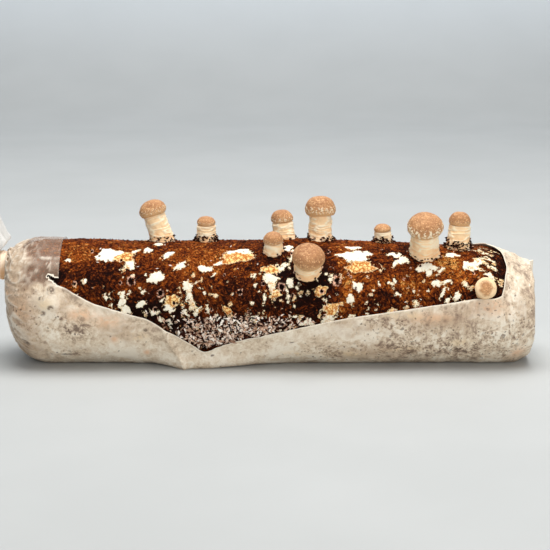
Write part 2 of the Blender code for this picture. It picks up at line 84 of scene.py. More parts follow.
# Patches of white threads: place along the log (mm) and angle (degrees), half sizes along and
# round it (mm), turn (degrees), raggedness, and share of orange in them
PATCHES = (
    (-128, 31, 7.5, 7.7, 0, 0.35, 0.0), (-120, 28, 5.5, 4.1, 0, 0.4, 0.15),
    (-113, 34, 8.5, 5.2, 12, 0.35, 1.0), (-105, 26, 4.0, 1.8, 35, 0.3, 0.3),
    (-108, 43, 4.4, 3.5, 10, 0.45, 0.1), (-112, 46, 4.0, 1.5, 15, 0.5, 0.5),
    (-96, 24, 3.6, 3.8, -20, 0.35, 0.05), (-88, 12, 3.6, 2.8, 20, 0.6, 0.0),
    (-80, 31, 5.8, 2.6, 45, 0.35, 0.0), (-70, 44, 5.4, 2.8, 42, 0.35, 0.0),
    (-88, 56, 6.6, 4.5, 25, 0.25, 0.0), (-157, 37, 2.8, 1.5, -20, 0.55, 0.0),
    (-144, 60, 2.0, 2.5, 0, 0.35, 0.35), (-151, 63, 1.4, 1.8, 0, 0.4, 0.5),
    (-114, 78, 3.4, 5.6, -20, 0.55, 0.1), (-111, 86, 3.6, 4.0, 30, 0.65, 0.0),
    (-99, 81, 3.4, 3.0, 0, 1.3, 0.0), (-91, 88, 3.6, 2.6, 20, 1.3, 0.0),
    (-75, 78, 6.0, 4.6, 25, 0.55, 0.95), (-78, 85, 3.4, 3.6, 0, 0.8, 0.15),
    (-77, 99, 3.4, 3.2, -10, 1.1, 0.1), (-84, 95, 1.8, 3.0, 30, 0.9, 0.0),
    (-50, 47, 5.6, 2.8, -12, 0.3, 0.0),
    (-24, 26, 10.0, 4.2, 0, 0.3, 0.0), (-26, 33, 13.5, 6.4, 3, 0.32, 1.0),
    (-40, 41, 3.6, 1.6, 30, 0.35, 0.2), (-43, 53, 2.2, 1.0, 30, 0.4, 0.2),
    (-64, 64, 3.4, 4.5, 0, 0.5, 0.15), (-62, 72, 1.9, 5.6, 10, 0.45, 0.3),
    (-60, 81, 2.5, 4.6, 12, 0.6, 0.6), (-65, 88, 2.2, 3.8, 40, 0.8, 0.0),
    (-56, 88, 1.8, 4.4, -30, 0.7, 0.0), (-33, 86, 3.6, 4.2, 20, 0.9, 1.1),
    (-48, 87, 1.1, 4.6, 4, 0.5, 0.0), (-42, 95, 1.5, 5.6, -14, 0.6, 0.05),
    (0, 57, 5.2, 3.8, 0, 0.6, 0.05), (2, 65, 2.6, 4.3, -10, 0.6, 0.5),
    (4, 72, 3.8, 3.6, 0, 0.6, 0.8), (-4, 76, 1.3, 5.0, 0, 0.6, 0.1),
    (1, 48, 6.4, 5.0, 0, 0.75, 1.1), (9, 45, 5.2, 2.3, 35, 0.7, 0.35),
    (16, 60, 3.0, 4.2, 0, 0.7, 0.05), (14, 71, 1.5, 6.0, 8, 0.6, 0.05),
    (-13, 55, 1.9, 1.7, 30, 0.4, 0.0), (-12, 63, 2.0, 2.4, 0, 0.9, 0.15),
    (-13, 94, 4.2, 2.0, 28, 0.6, 0.15), (67, 31, 12.5, 6.2, 4, 0.28, 0.0),
    (70, 44, 11.5, 5.4, 7, 0.5, 1.2), (66, 19, 6.5, 2.5, 10, 0.75, 0.0),
    (68, 64, 4.4, 3.4, -20, 0.35, 0.05), (62, 75, 2.8, 3.8, -12, 0.35, 0.2),
    (47, 85, 6.0, 5.8, 0, 0.45, 0.85), (46, 94, 4.6, 4.8, 0, 0.5, 0.35),
    (40, 68, 5.6, 3.8, 25, 0.8, 1.1), (98, 28, 5.5, 2.8, 10, 0.65, 0.0),
    (104, 35, 5.0, 4.1, 0, 0.6, 0.05), (97, 39, 1.6, 3.6, -30, 0.6, 0.0),
    (116, 45, 2.5, 2.1, -10, 0.4, 0.1), (99, 71, 3.2, 1.6, -25, 0.4, 0.0),
    (47, 56, 1.6, 4.1, -12, 0.45, 0.1), (44, 52, 1.2, 1.5, 0, 0.4, 0.0),
    (85, 60, 1.2, 1.9, 0, 0.45, 0.0), (21, 66, 1.3, 1.9, 15, 0.4, 0.0),
    (29, 99, 4.2, 3.0, 0, 0.9, 0.0), (43, 77, 2.0, 1.9, 0, 0.35, 0.25),
    (63, 92, 2.2, 1.7, 30, 0.6, 0.3), (14, 20, 4.4, 4.1, 30, 0.85, 0.1),
    (18, 29, 2.2, 5.9, -20, 0.8, 0.0), (123, 42, 8.6, 3.6, 0, 0.7, 0.0),
    (123, 48, 2.6, 3.9, 0, 0.6, 0.0), (133, 46, 1.2, 3.9, -35, 0.5, 0.0),
    (143, 25, 4.8, 3.1, 0, 0.4, 0.0), (158, 41, 5.8, 4.0, 25, 0.6, 0.35),
    (163, 34, 4.4, 4.8, 35, 0.6, 0.4), (152, 39, 2.6, 3.3, 0, 0.7, 0.15),
    (129, 59, 3.4, 3.0, 10, 0.4, 0.0), (136, 58, 5.4, 1.5, 12, 0.5, 0.0),
    (134, 68, 1.4, 5.0, -24, 0.4, 0.0), (137, 76, 1.3, 2.4, -14, 0.4, 0.0),
    (145, 71, 2.8, 4.0, -14, 0.3, 0.15), (97, 57, 1.2, 3.2, 28, 0.55, 0.0),
    (92, 60, 1.4, 1.6, 0, 0.45, 0.0), (152, 59, 3.6, 2.2, -30, 0.9, 0.45),
    (113, 79, 1.0, 4.0, 8, 0.5, 0.2), (95, 86, 3.0, 2.0, 10, 0.7, 0.6),
    (105, 83, 2.0, 1.8, 0, 0.6, 0.6), (171, 30, 5.2, 1.1, -16, 0.7, 0.3),
    (173, 39, 4.6, 1.3, -26, 0.7, 0.15), (170, 20, 6.0, 1.2, -8, 0.8, 0.3),
    (171, 50, 4.0, 2.0, -40, 0.9, 0.35), (160, 14, 7.0, 1.0, 0, 0.8, 0.3),
)

# The same values by chance, for patches of such kinds on the back, for flakes that are thickest
# towards the flap, and for slanting slivers on the dark skin at the right end
CHANCE_PATCHES = scattered(
    12, 34, (-158, 140), (-68, -9), (1.2, 6.5), (1.2, 4.5), (-50, 50), (0.3, 0.9), (-0.2, 0.8),
) + scattered(
    5, 230, (-128, 172), (38, 114, 0.6), (0.5, 1.7), (0.5, 2.1), (-60, 60), (0.3, 0.9), (-0.2, 1.1),
) + scattered(
    7, 22, (160, 179), (6, 62), (2.0, 4.6), (0.5, 1.0), (-45, -8), (0.6, 1.0), (0.2, 1.2),
)

# Pits with pale rims: place along the log (mm), angle (degrees), radius (mm); then pinholes
PITS = (
    (-84.5, 71, 1.7), (-107.5, 59, 2.0), (-23, 70, 1.5), (9, 65, 1.9), (52, 58, 2.2),
    (-151, 62, 1.2), (-74, 80, 1.0), (40, 69, 1.3), (-5, 62, 1.0),
) + scattered(6, 26, (-155, 165), (20, 96), (0.5, 1.1))

# Zones of the skin: place along the log (mm), angle, half sizes (mm), orange above 0, dark below; the
# darkest, at -168 mm and 55 degrees, is painted shadow under the bag's slit
TONES = (
    (-143, 25, 21, 16, 0.55), (-138, 55, 16, 13, -0.9), (-111, 49, 15, 8, -0.2),
    (-40, 47, 12, 14, 0.5), (12, 24, 12, 13, -0.6), (59, 32, 7, 26, 0.75), (42, 54, 18, 20, -0.55),
    (-64, 87, 20, 9, -0.8), (-12, 71, 24, 19, -0.6), (79, 58, 13, 16, 0.45),
    (88, 76, 16, 11, -0.6), (142, 75, 18, 6, -0.7), (141, 37, 15, 15, 1.1), (167, 68, 10, 6, -1.0),
    (180, 36, 10, 23, -0.6), (-96, 89, 16, 10, -0.7), (112, 18, 12, 14, -0.5),
    # The zone at -168 mm and 55 degrees is painted shadow on the skin beneath the slit in the bag.
    (-168, 55, 7, 6, -1.6), (-20, 102, 45, 8, -1.0), (40, 100, 30, 8, -0.4), (33, 60, 13, 8, -1.3),
    (-98, 84, 14, 7, -1.3), (-62, 104, 20, 8, -0.9), (12, 56, 7, 9, -1.1), (22, 79, 24, 8, -0.6),
    (100, 62, 16, 10, 0.35), (-85, 36, 22, 9, 0.30), (60, 62, 9, 16, 0.35),
)

# The skin's grain: height and size of each layer of it; then its pits, their rims, its patches
GRAINS = ((0.00040, 0.0075), (0.00034, 0.0030), (0.00022, 0.0016))
PIT_DEPTH, RIM_RISE, PATCH_RISE = 0.0016, 0.0003, 0.0004


def smooth_step(value, low, high):
    """0 below low, 1 above high, and a smooth rise between."""
    t = np.clip((np.asarray(value, float) - low) / (high - low), 0.0, 1.0)
    return t * t * (3.0 - 2.0 * t)


# Large odd numbers, which turn a box's place and a seed into a number that looks like chance
AXIS_KEYS, SEED_KEY = np.array([73856093, 19349663, 83492791]), 40503
BIT_MIXERS, LAST_KEY = ((15, 2246822519), (13, 3266489917)), 0xFFFFFFFF


def lattice_noise(points, size, seed):
    """Smooth noise from -1 to 1: random values at the corners of boxes of one size, blended."""
    place = np.asarray(points, float) / size
    cell = np.floor(place).astype(np.int64)
    part = place - cell
    part = part * part * (3.0 - 2.0 * part)
    total = np.zeros(place.shape[:-1])
    for corner in np.ndindex(2, 2, 2):
        key = (cell + corner) @ AXIS_KEYS + seed * SEED_KEY
        for shift, factor in BIT_MIXERS:
            key = (key ^ (key >> shift)) * factor & LAST_KEY
        share = np.prod(np.where(corner, part, 1.0 - part), axis=-1)
        total += share * ((key ^ (key >> 16)) / (LAST_KEY / 2) - 1.0)
    return total


def layered_noise(points, size, layers, seed):
    """Noise of one size with finer and weaker noise added on top of it."""
    total = np.zeros(np.shape(points)[:-1])
    for layer in range(layers):
        total += lattice_noise(points, np.divide(size, 2.0**layer), seed + layer) / 2.0**layer
    return total


def swelling(x, angle):
    """Low swells of the log's skin, fading to none over the underside."""
    swell = np.sin(x / 0.021 + 2.0 * np.sin(angle)) * np.cos(2.0 * angle + x / 0.037)
    swell += 0.6 * np.sin(x / 0.034 - 3.0 * angle)
    return SWELL_HEIGHT * swell * smooth_step(-np.cos(angle), 0.85, 0.45)


def right_end(x):
    """How much the log's radius shrinks and its axis falls towards the right end."""
    taper = RIGHT_TAPER * smooth_step(x, 0.0, RIGHT_END)
    share = np.clip((np.asarray(x, float) - CONE_START) / (RIGHT_END - CONE_START), 0.0, 1.0)
    cone = taper + CONE_DROP * share**CONE_POWER
    corner = CONE_CORNER * share**6
    return cone + corner, cone - corner


def round_log(x, angle, radius, rise, proud):
    """Points of the log's skin, or of what stands proud of it, flattened below."""
    shrink, fall = right_end(x)
    reach = radius - shrink + proud + swelling(x, angle)
    height = AXIS_HEIGHT + rise - fall + reach * np.cos(angle)
    floor = FILM + SLACK - np.minimum(proud, SLACK + FILM)
    return np.stack([x, -reach * np.sin(angle), np.maximum(height, floor)], axis=-1)


def from_top(angle):
    """Degrees from the log's top: up to 180 down the front, and below 0 down the back."""
    return (np.degrees(angle) + 180.0) % 360.0 - 180.0


def on_log(along, angle):
    """The skin laid flat, in millimetres: place along the log, and distance round from its top."""
    down = np.radians(from_top(angle)) * LOG_RADIUS_MM
    return np.stack([along * 1000.0, down, np.zeros_like(along)], axis=-1)


def away_from(flat, place, angle):
    """Distances of flat places from a mark, along the log and the shorter way round it."""
    half = math.pi * LOG_RADIUS_MM
    down = flat[..., 1] - math.radians(angle) * LOG_RADIUS_MM
    return flat[..., 0] - place, (down + half) % (2.0 * half) - half


def patch_field(flat, patches):
    """Millimetres inside the nearest patch's edge (below 0 outside), and its share of orange.

    Each patch is an ellipse in the skin's own plane, turned, with corners pushed out at
    angles of its own, and warped by noise. A small patch is warped more, for its size.
    """
    shift = [layered_noise(flat, 5.0, 3, seed) for seed in (31, 41)]
    field = np.full(flat.shape[:-1], -9.0)
    orange = np.zeros(flat.shape[:-1])
    for order, (place, angle, half_x, half_round, turn, ragged, warm) in enumerate(patches):
        cos, sin = math.cos(math.radians(turn)), math.sin(math.radians(turn))
        right, down = away_from(flat, place, angle)
        size = min(half_x, half_round)
        warp = 2.6 * ragged / (size + 1.4)
        first = (right * cos - down * sin) / half_x + warp * shift[0]
        second = (right * sin + down * cos) / half_round + warp * shift[1]
        way = np.arctan2(second, first)
        corners = np.sin(3 * way + 2.4 * order) + 0.7 * np.sin(5 * way + 1.7 * order)
        corners = 0.13 * (corners + 0.5 * np.sin(9 * way + order))
        inside = size * (1.0 + corners - np.hypot(first, second))
        orange = np.where(inside > field, warm, orange)
        field = np.maximum(field, inside)
    return np.clip(field, -9.0, 4.0), orange


def pit_field(flat, pits):
    """Distance from the nearest pit's middle, as a share of that pit's radius."""
    nearest = np.full(flat.shape[:-1], 9.0)
    for place, angle, radius in pits:
        right, down = away_from(flat, place, angle)
        nearest = np.minimum(nearest, np.hypot(right, 0.8 * down) / radius)
    return nearest * (1.0 + 0.28 * lattice_noise(flat, 1.9, 21))


def zone_field(flat, zones):
    """Sum of soft round zones, each with its own strength, their edges wavered by noise."""
    waver = 1.0 + 0.45 * layered_noise(flat, 9.0, 3, 41)
    total = np.zeros(flat.shape[:-1])
    for place, angle, half_x, half_round, strength in zones:
        right, down = away_from(flat, place, angle)
        total += strength * np.exp(-((right / half_x) ** 2 + (down / half_round) ** 2) * waver)
    return total


def skin_relief(points, pit, patch):
    """How far the skin stands out: grain of three sizes, sunk pits with rims, raised patches."""
    relief = -PIT_DEPTH * smooth_step(pit, 1.0, 0.5) + PATCH_RISE * smooth_step(patch, -0.2, 0.8)
    relief += RIM_RISE * np.exp(-(((pit - 1.3) / 0.3) ** 2))
    for order, (height, size) in enumerate(GRAINS):
        relief += height * lattice_noise(points, size, 3 + order)
    return relief


def new_mesh(name, points, faces_by_sides, values=None):
    """A smooth mesh from arrays of corners and of faces, with named values at its corners."""
    mesh = bpy.data.meshes.new(name)
    mesh.vertices.add(len(points))
    mesh.vertices.foreach_set("co", np.asarray(points, np.float32).ravel())
    corners = np.concatenate([faces.ravel() for faces in faces_by_sides])
    sides = np.concatenate([np.full(len(faces), faces.shape[1]) for faces in faces_by_sides])
    mesh.loops.add(len(corners))
    mesh.loops.foreach_set("vertex_index", corners.astype(np.int32))
    mesh.polygons.add(len(sides))
    starts = np.concatenate([[0], np.cumsum(sides)[:-1]])
    mesh.polygons.foreach_set("loop_start", starts.astype(np.int32))
    mesh.update(calc_edges=True)
    mesh.shade_smooth()
    for key, value in (values or {}).items():
        layer = mesh.attributes.new(key, "FLOAT", "POINT")
        layer.data.foreach_set("value", np.asarray(value, np.float32).ravel())
    return mesh


def grid_faces(rows, columns):
    """Squares between the rows of a grid that is closed round each row, as rows by columns."""
    row, column = np.meshgrid(np.arange(rows - 1), np.arange(columns), indexing="ij")
    near, far, after = row * columns, (row + 1) * columns, (column + 1) % columns
    return np.stack([near + column, far + column, far + after, near + after], axis=-1)


def closed_mesh(name, grid, ends, values, step=-1):
    """A mesh of a grid closed round each row and drawn together to a point beyond each end.

    With a step of 1 its faces look to the other side, for rows that follow one another the
    other way. The end points take the values of the first corners of the end rows.
    """
    rows, columns = grid.shape[:2]
    count, last = rows * columns, (rows - 1) * columns
    around = np.arange(columns)
    onward = (around + 1) % columns
    faces = [
        grid_faces(rows, columns).reshape(-1, 4),
        np.stack([np.full(columns, count), around, onward], axis=-1),
        np.stack([last + around, np.full(columns, count + 1), last + onward], axis=-1),
    ]
    whole = {key: np.broadcast_to(value, (rows, columns)) for key, value in values.items()}
    values = {key: np.append(value, [value[0, 0], value[-1, 0]]) for key, value in whole.items()}
    points = np.concatenate([grid.reshape(-1, 3), ends])
    return new_mesh(name, points, [face[:, ::step] for face in faces], values)


def new_object(data):
    """An object in the scene, which has the name of the mesh, lamp or camera that it holds."""
    made = bpy.data.objects.new(data.name, data)
    bpy.context.scene.collection.objects.link(made)
    return made


def new_piece(mesh, material, slot, *nodes):
    """An object for a mesh, which rides on the body and stands for the frame's nodes."""
    mesh.materials.append(material)
    piece = new_object(mesh)
    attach(piece, "root")
    if nodes:
        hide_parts(*nodes)
    return piece


NOISE_ROUGHNESS = 0.62


class Value:
    """What a shader node gives out, with the sums, masks and blends that are made from it."""

    def __init__(self, socket):
        self.socket = socket

    def node(self, kind, values, output=0, **settings):
        """What another node in the same tree gives out."""
        return Value(add_node(self.socket.id_data, kind, values, **settings).outputs[output])

    def calculate(self, operation, other):
        """This value and another one, put together."""
        return self.node("ShaderNodeMath", {0: self, 1: other}, operation=operation)

    def __add__(self, other):
        return self.calculate("ADD", other)

    def __sub__(self, other):
        return self.calculate("SUBTRACT", other)

    def __mul__(self, other):
        return self.calculate("MULTIPLY", other)

    __rmul__ = __mul__

    def most(self, other):
        """The larger of this value and another one."""
        return self.calculate("MAXIMUM", other)

    def between(self, low, high, to_low=0.0, to_high=1.0):
        """This value brought smoothly from one range to another."""
        levels = {"Value": self, "From Min": low, "From Max": high, "To Min": to_low, "To Max": to_high}
        return self.node("ShaderNodeMapRange", levels, interpolation_type="SMOOTHSTEP")

    def mix(self, first, second):
        """The first colour where this value is 0, the second where it is 1."""
        return self.node("ShaderNodeMix", {0: self, 6: first, 7: second}, 2, data_type="RGBA")

    def ramp(self, *stops):
        """Colours laid out along this value: each stop is its place and its colour."""
        made = add_node(self.socket.id_data, "ShaderNodeValToRGB", {"Fac": self})
        points = made.color_ramp.elements
        for place, colour in stops[2:]:
            points.new(place)
        for point, (place, colour) in zip(points, sorted(stops)):
            point.position = place
            point.color = colour
        return Value(made.outputs["Color"])

    def noise(self, scale, detail, distortion=0.0):
        """Cloudy noise at these coordinates, from 0 to 1 and mostly near 0.5."""
        levels = {"Vector": self, "Scale": scale, "Detail": detail, "Distortion": distortion}
        return self.node("ShaderNodeTexNoise", {**levels, "Roughness": NOISE_ROUGHNESS}, "Fac")


def fill(node, values):
    """Sets a node's inputs to numbers and colours, or joins them to other nodes' values."""
    for key, value in values.items():
        if isinstance(value, Value):
            node.id_data.links.new(value.socket, node.inputs[key])
        else:
            node.inputs[key].default_value = value


def add_node(tree, kind, values=None, **settings):
    """A node in a tree, with its own settings and its inputs filled."""
    made = tree.nodes.new(kind)
    for key, setting in settings.items():
        setattr(made, key, setting)
    fill(made, values or {})
    return made


def new_group(name, outputs, **inputs):
    """An empty shader node group: itself, its end node, its coordinates and its other inputs."""
    group = bpy.data.node_groups.new(name, "ShaderNodeTree")
    group.interface.new_socket("Vector", in_out="INPUT", socket_type="NodeSocketVector")
    for key, value in inputs.items():
        socket = group.interface.new_socket(key, in_out="INPUT", socket_type="NodeSocketFloat")
        socket.default_value = value
    for key in outputs:
        group.interface.new_socket(key, in_out="OUTPUT", socket_type="NodeSocketFloat")
    given = group.nodes.new("NodeGroupInput").outputs
    end = group.nodes.new("NodeGroupOutput")
    return group, end, Value(given["Vector"]), *(Value(given[key]) for key in inputs)


def make_mottle():
    """Cloudy blotches: noise of one scale, cut to a soft mask between two levels."""
    group, end, place, scale, detail, low, high = new_group(
        "mottle", ["Mask"], Scale=50, Detail=4, Low=0.4, High=0.6)
    levels = {"Vector": place, "Scale": scale, "Detail": detail}
    fill(end, {"Mask": place.node("ShaderNodeTexNoise", levels, "Fac").between(low, high)})
    return group


def make_chips():
    """Packed chips: warped cells, each with a shade of its own, and the dark gaps between."""
    group, end, place, scale, warp, gap = new_group(
        "chips", ["Shade", "Gap"], Scale=500, Warp=0.001, Gap=0.12)
    cloud = place.node("ShaderNodeTexNoise", {"Vector": place, "Scale": scale, "Detail": 3}, "Color")
    centred = place.node("ShaderNodeVectorMath", {0: cloud, 1: (0.5, 0.5, 0.5)}, operation="SUBTRACT")
    shifted = place.node("ShaderNodeVectorMath", {0: centred, "Scale": warp}, operation="SCALE")
    moved = place.node("ShaderNodeVectorMath", {0: place, 1: shifted})
    levels = {"Vector": moved, "Scale": scale}
    cells = place.node("ShaderNodeTexVoronoi", levels, "Color")
    edges = place.node("ShaderNodeTexVoronoi", levels, "Distance", feature="DISTANCE_TO_EDGE")
    shade = place.node("ShaderNodeSeparateColor", {0: cells})
    fill(end, {"Shade": shade, "Gap": edges.between(gap, 0.0)})
    return group


def make_specks():
    """Scattered specks: ragged spots in some of the cells of a pattern."""
    group, end, place, scale, size, share = new_group("specks", ["Mask"], Scale=300, Size=0.2, Share=0.3)
    cells = add_node(group, "ShaderNodeTexVoronoi", {"Vector": place, "Scale": scale}).outputs
    near = Value(cells["Distance"]) + 1.3 * place.noise(2.2 * scale, 3) - 0.65
    chance = place.node("ShaderNodeSeparateColor", {0: Value(cells["Color"])}, 1)
    fill(end, {"Mask": near.between(size, 0.6 * size) * chance.calculate("LESS_THAN", share)})
    return group


mottle = make_mottle()
chips = make_chips()
specks = make_specks()


def use_group(group, place, **values):
    """What a group gives out when it is placed in a material with its own values."""
    made = add_node(place.socket.id_data, "ShaderNodeGroup", {"Vector": place, **values}, node_tree=group)
    return {output.name: Value(output) for output in made.outputs}


class Look:
    """A new material, with the object's own coordinates and the mesh's stored values in it."""

    def __init__(self, name, **levels):
        self.material = bpy.data.materials.new(name)
        self.material.use_nodes = True
        self.tree = self.material.node_tree
        self.shader = self.tree.nodes["Principled BSDF"]
        fill(self.shader, {key.replace("_", " "): value for key, value in levels.items()})
        self.place = Value(add_node(self.tree, "ShaderNodeTexCoord").outputs["Object"])

    def stored(self, name):
        """A value that the mesh holds at its corners."""
        return Value(add_node(self.tree, "ShaderNodeAttribute", attribute_name=name).outputs["Fac"])

    def finish(self, colour, height=None, depth=0.0):
        """The material with its colour and, from a height, its fine relief."""
        fill(self.shader, {"Base Color": colour})
        if height:
            levels = {"Height": height, "Distance": depth, "Strength": 1.0}
            fill(self.shader, {"Normal": height.node("ShaderNodeBump", levels, "Normal")})
        return self.material


# Colours are red, green, blue and opacity
NEAR_BLACK = (0.010, 0.003, 0.002, 1)
MAROON = (0.042, 0.007, 0.002, 1)
RED_BROWN = (0.160, 0.030, 0.005, 1)
RUST = (0.320, 0.066, 0.008, 1)
ORANGE_BROWN = (0.540, 0.150, 0.018, 1)
STRAW = (0.780, 0.380, 0.100, 1)
THREAD_WHITE = (0.950, 0.910, 0.760, 1)
THREAD_CREAM = (0.930, 0.665, 0.270, 1)
THREAD_ORANGE = (0.500, 0.150, 0.022, 1)
PIT_RIM = (0.88, 0.52, 0.36, 1)


def drawn_out(place, turn, stretch):
    """Coordinates turned about Y and then shrunk along Z, which draws a pattern out."""
    turned = place.node("ShaderNodeMapping", {"Vector": place, "Rotation": (0.0, turn, 0.0)})
    return place.node("ShaderNodeMapping", {"Vector": turned, "Scale": (1.0, 1.0, stretch)})


def make_skin_material():
    """Brown packed sawdust with orange and dark zones, one of them a painted shadow under the bag's slit,
    white patches, pits painted near black inside as shade, and fine specks.
    """
    look = Look("browned_sawdust", Roughness=0.85, Specular_IOR_Level=0.05)
    place, stored = look.place, look.stored
    falling = drawn_out(place, 0.62, 0.22).noise(420, 5, 1.3)
    rising = drawn_out(place, -0.95, 0.28).noise(420, 5, 1.3)
    lie = place.noise(34, 3).between(0.44, 0.54)
    streaky = falling * lie + rising - rising * lie
    cloudy = place.noise(250, 6, 1.2)
    coarse = use_group(chips, place, Scale=300, Warp=0.0050, Gap=0.13)
    fine = use_group(chips, place, Scale=800, Warp=0.0020, Gap=0.18)
    cloud = use_group(mottle, place, Scale=30, Detail=7, Low=0.38, High=0.62)["Mask"]
    tone = 2.3 * streaky + 1.2 * cloudy + 0.16 * coarse["Shade"] + 0.10 * fine["Shade"]
    tone = tone + 0.20 * cloud + 0.42 * stored("tone") - 1.48
    colour = tone.ramp(
        (0.05, NEAR_BLACK), (1.0, STRAW), (0.25, MAROON), (0.46, RED_BROWN), (0.68, RUST),
        (0.92, ORANGE_BROWN))
    gap = (0.6 * coarse["Gap"] + 0.6 * fine["Gap"]).between(0.2, 1.0)
    colour = (0.85 * gap).mix(colour, NEAR_BLACK)
    bend = place.noise(95, 6, 1.6) - 0.5
    crack = (bend * bend).between(0.0009, 0.0002) * stored("tone").between(0.15, -0.25)
    colour = (0.9 * crack).mix(colour, NEAR_BLACK)
    fuzz = use_group(specks, place, Scale=280, Size=0.34, Share=stored("flecks"))["Mask"]
    colour = fuzz.mix(colour, cloudy.between(0.36, 0.54).mix(THREAD_WHITE, STRAW))

    ragged = place.noise(1000, 3)
    waver = place.noise(430, 4)
    edge = stored("patch") + 4.6 * waver + 3.4 * ragged - 4.0
    warm = (stored("orange") + 2.2 * place.noise(210, 5, 0.8) - 1.20).between(0.1, 0.8)
    warm = warm * edge.between(0.15, 0.9, 0.25, 1.0)
    net = use_group(chips, place, Scale=330, Warp=0.005, Gap=0.24)["Gap"]
    holes = use_group(specks, place, Scale=230, Size=0.30, Share=0.16)["Mask"]
    thread = warm.mix(THREAD_WHITE, THREAD_CREAM)
    thread = edge.between(0.65, 0.1, 0.0, 0.7).mix(thread, THREAD_CREAM)
    thread = (net * (warm + 0.10)).mix(thread, THREAD_ORANGE)
    thread = (0.9 * holes).mix(thread, MAROON)
    colour = edge.between(-0.05, 0.12).mix(colour, thread)

    pit = stored("pit") + 1.6 * ragged + 1.2 * waver - 1.4
    rim = pit.between(1.72, 1.55) * waver.between(0.42, 0.54)
    colour = rim.mix(colour, PIT_RIM)
    # The pits' middles are painted near black: painted shade inside the holes.
    colour = pit.between(1.18, 1.02).mix(colour, NEAR_BLACK)
    height = 0.45 * coarse["Shade"] + 0.30 * fine["Shade"] - 0.6 * gap + 0.6 * streaky
    return look.finish(colour, height * edge.between(0.12, -0.05, 0.30, 1.0), 0.0009)


def log_profile(rows):
    """Place along the log, radius and rise of each row: a quarter-round left end, then straight."""
    left = np.linspace(math.pi / 2, 0.0, rows // 12, endpoint=False)
    onward = np.linspace(LEFT_END + LEFT_ROUNDING, RIGHT_END, rows - len(left))
    drop = LEFT_ROUNDING * (1 - np.cos(left))
    along = [LEFT_END + LEFT_ROUNDING * (1 - np.sin(left)), onward]
    radius = [LOG_RADIUS - drop, np.full(len(onward), LOG_RADIUS)]
    rise = [LEFT_END_RISE * (1 - np.cos(left)), np.zeros(len(onward))]
    return [np.concatenate(parts)[:, None] for parts in (along, radius, rise)]


def build_skin():
    """The log's skin as one fine closed surface, with the values that its colours follow.

    Each row is a ring round the log's axis: its radius, less where the ends round off, plus the
    swells, and plus the relief of the place. Columns lie closer on the side that is seen.
    """
    along, radius, rise = log_profile(LOG_ROWS)
    angle = np.radians(np.concatenate([
        np.linspace(SEEN_FROM, SEEN_TO, SEEN_COLUMNS, endpoint=False),
        np.linspace(SEEN_TO, SEEN_FROM + 360, HIDDEN_COLUMNS, endpoint=False),
    ]))[None, :]
    along, angle = np.broadcast_arrays(along, angle)
    flat = on_log(along, angle)
    patch, orange = patch_field(flat, PATCHES + CHANCE_PATCHES)
    pit = pit_field(flat, PITS)
    surface = round_log(along, angle, radius, rise, np.zeros_like(along))
    surface = round_log(along, angle, radius, rise, skin_relief(surface, pit, patch))
    degrees = from_top(angle)
    # Fine white flecks, in clouds that thicken down the front, and a dense band above the flap
    cloud = lattice_noise(surface, 0.022, 8)
    flecks = 0.012 + 0.09 * smooth_step(degrees, 50, 88) * smooth_step(cloud, -0.6, 0.6)
    flecks += 0.35 * smooth_step(degrees, 96, 112)
    ends = [
        (LEFT_END, 0, AXIS_HEIGHT + LEFT_END_RISE),
        (RIGHT_END, 0, AXIS_HEIGHT - right_end(RIGHT_END)[1]),
    ]
    return closed_mesh("log_skin", surface, ends, {
        "patch": patch, "orange": orange, "pit": pit, "flecks": flecks, "tone": zone_field(flat, TONES),
    })


new_piece(build_skin(), make_skin_material(), "substrate", "substrate_block")

# The bag: thin milky polypropylene, gathered and tied at the left, heat-sealed at the right, and
# cut open along the top with a knife. It clings to the log, hangs in a flap with one hard
# crease below the cut's lowest point, and stands off the log like a tent at the left.

FILM_RADIUS = LOG_RADIUS + SLACK + FILM
WINDOW_LEFT = -0.1635
# The window's edges: place along the log, and angle; and how far its right end slides back
FRONT_EDGE = (
    (-0.164, 64), (-0.137, 80), (-0.095, 95), (-0.071, 112), (-0.051, 128.5),
    (-0.027, 118), (0.027, 101), (0.058, 93.5), (0.101, 85.5), (0.157, 74.5), (0.179, 69.5),
)
BACK_EDGE = ((-0.164, 56), (-0.120, 66), (-0.040, 74), (0.060, 70), (0.179, 48))
FRONT_CORNER = 0.179
RIGHT_END_SHAPE = (
    (-48, -0.036), (-30, -0.024), (-11, -0.009), (3, -0.002), (14, 0.0035), (36, 0.006),
    (60, 0.0025), (69.5, 0.0),
)
# Places of the bag's rings: along the window; past its corner, each with its share of the slide;
# and at the log's right end
BAG_PLACES = (
    -0.176, WINDOW_LEFT, -0.150, -0.137, -0.123, -0.109, -0.095, -0.083, -0.073, -0.062, -0.051,
    -0.040, -0.027, -0.010, 0.012, 0.033, 0.054, 0.075, 0.096, 0.117, 0.138, 0.158, FRONT_CORNER,
)
PAST_CORNER = ((0.1835, 0.55), (0.190, 0.2))
BAG_END_PLACES = (0.1945, 0.200, RIGHT_END)
LEFT_SIDE_ANGLE = math.radians(62)
RIGHT_SIDE_ANGLE = math.radians(60)
PAST_CORNER_BACK = math.radians(54)
FLAP_CENTRE = -0.058
FLAP_LEFT = 0.050
FLAP_RIGHT = 0.085
FLAP_REACH = 0.0115
FLAP_DROP = 0.003
FLAP_ANGLE, FLAP_SPREAD = 150, 17
FOLD_TOP = -0.081
FOLD_FOOT = -0.064
FOLD_HEIGHT = 0.003
FOLD_WIDTH = 0.009
TENT_HEIGHT = 0.0008
TENT_RISE = 0.0075
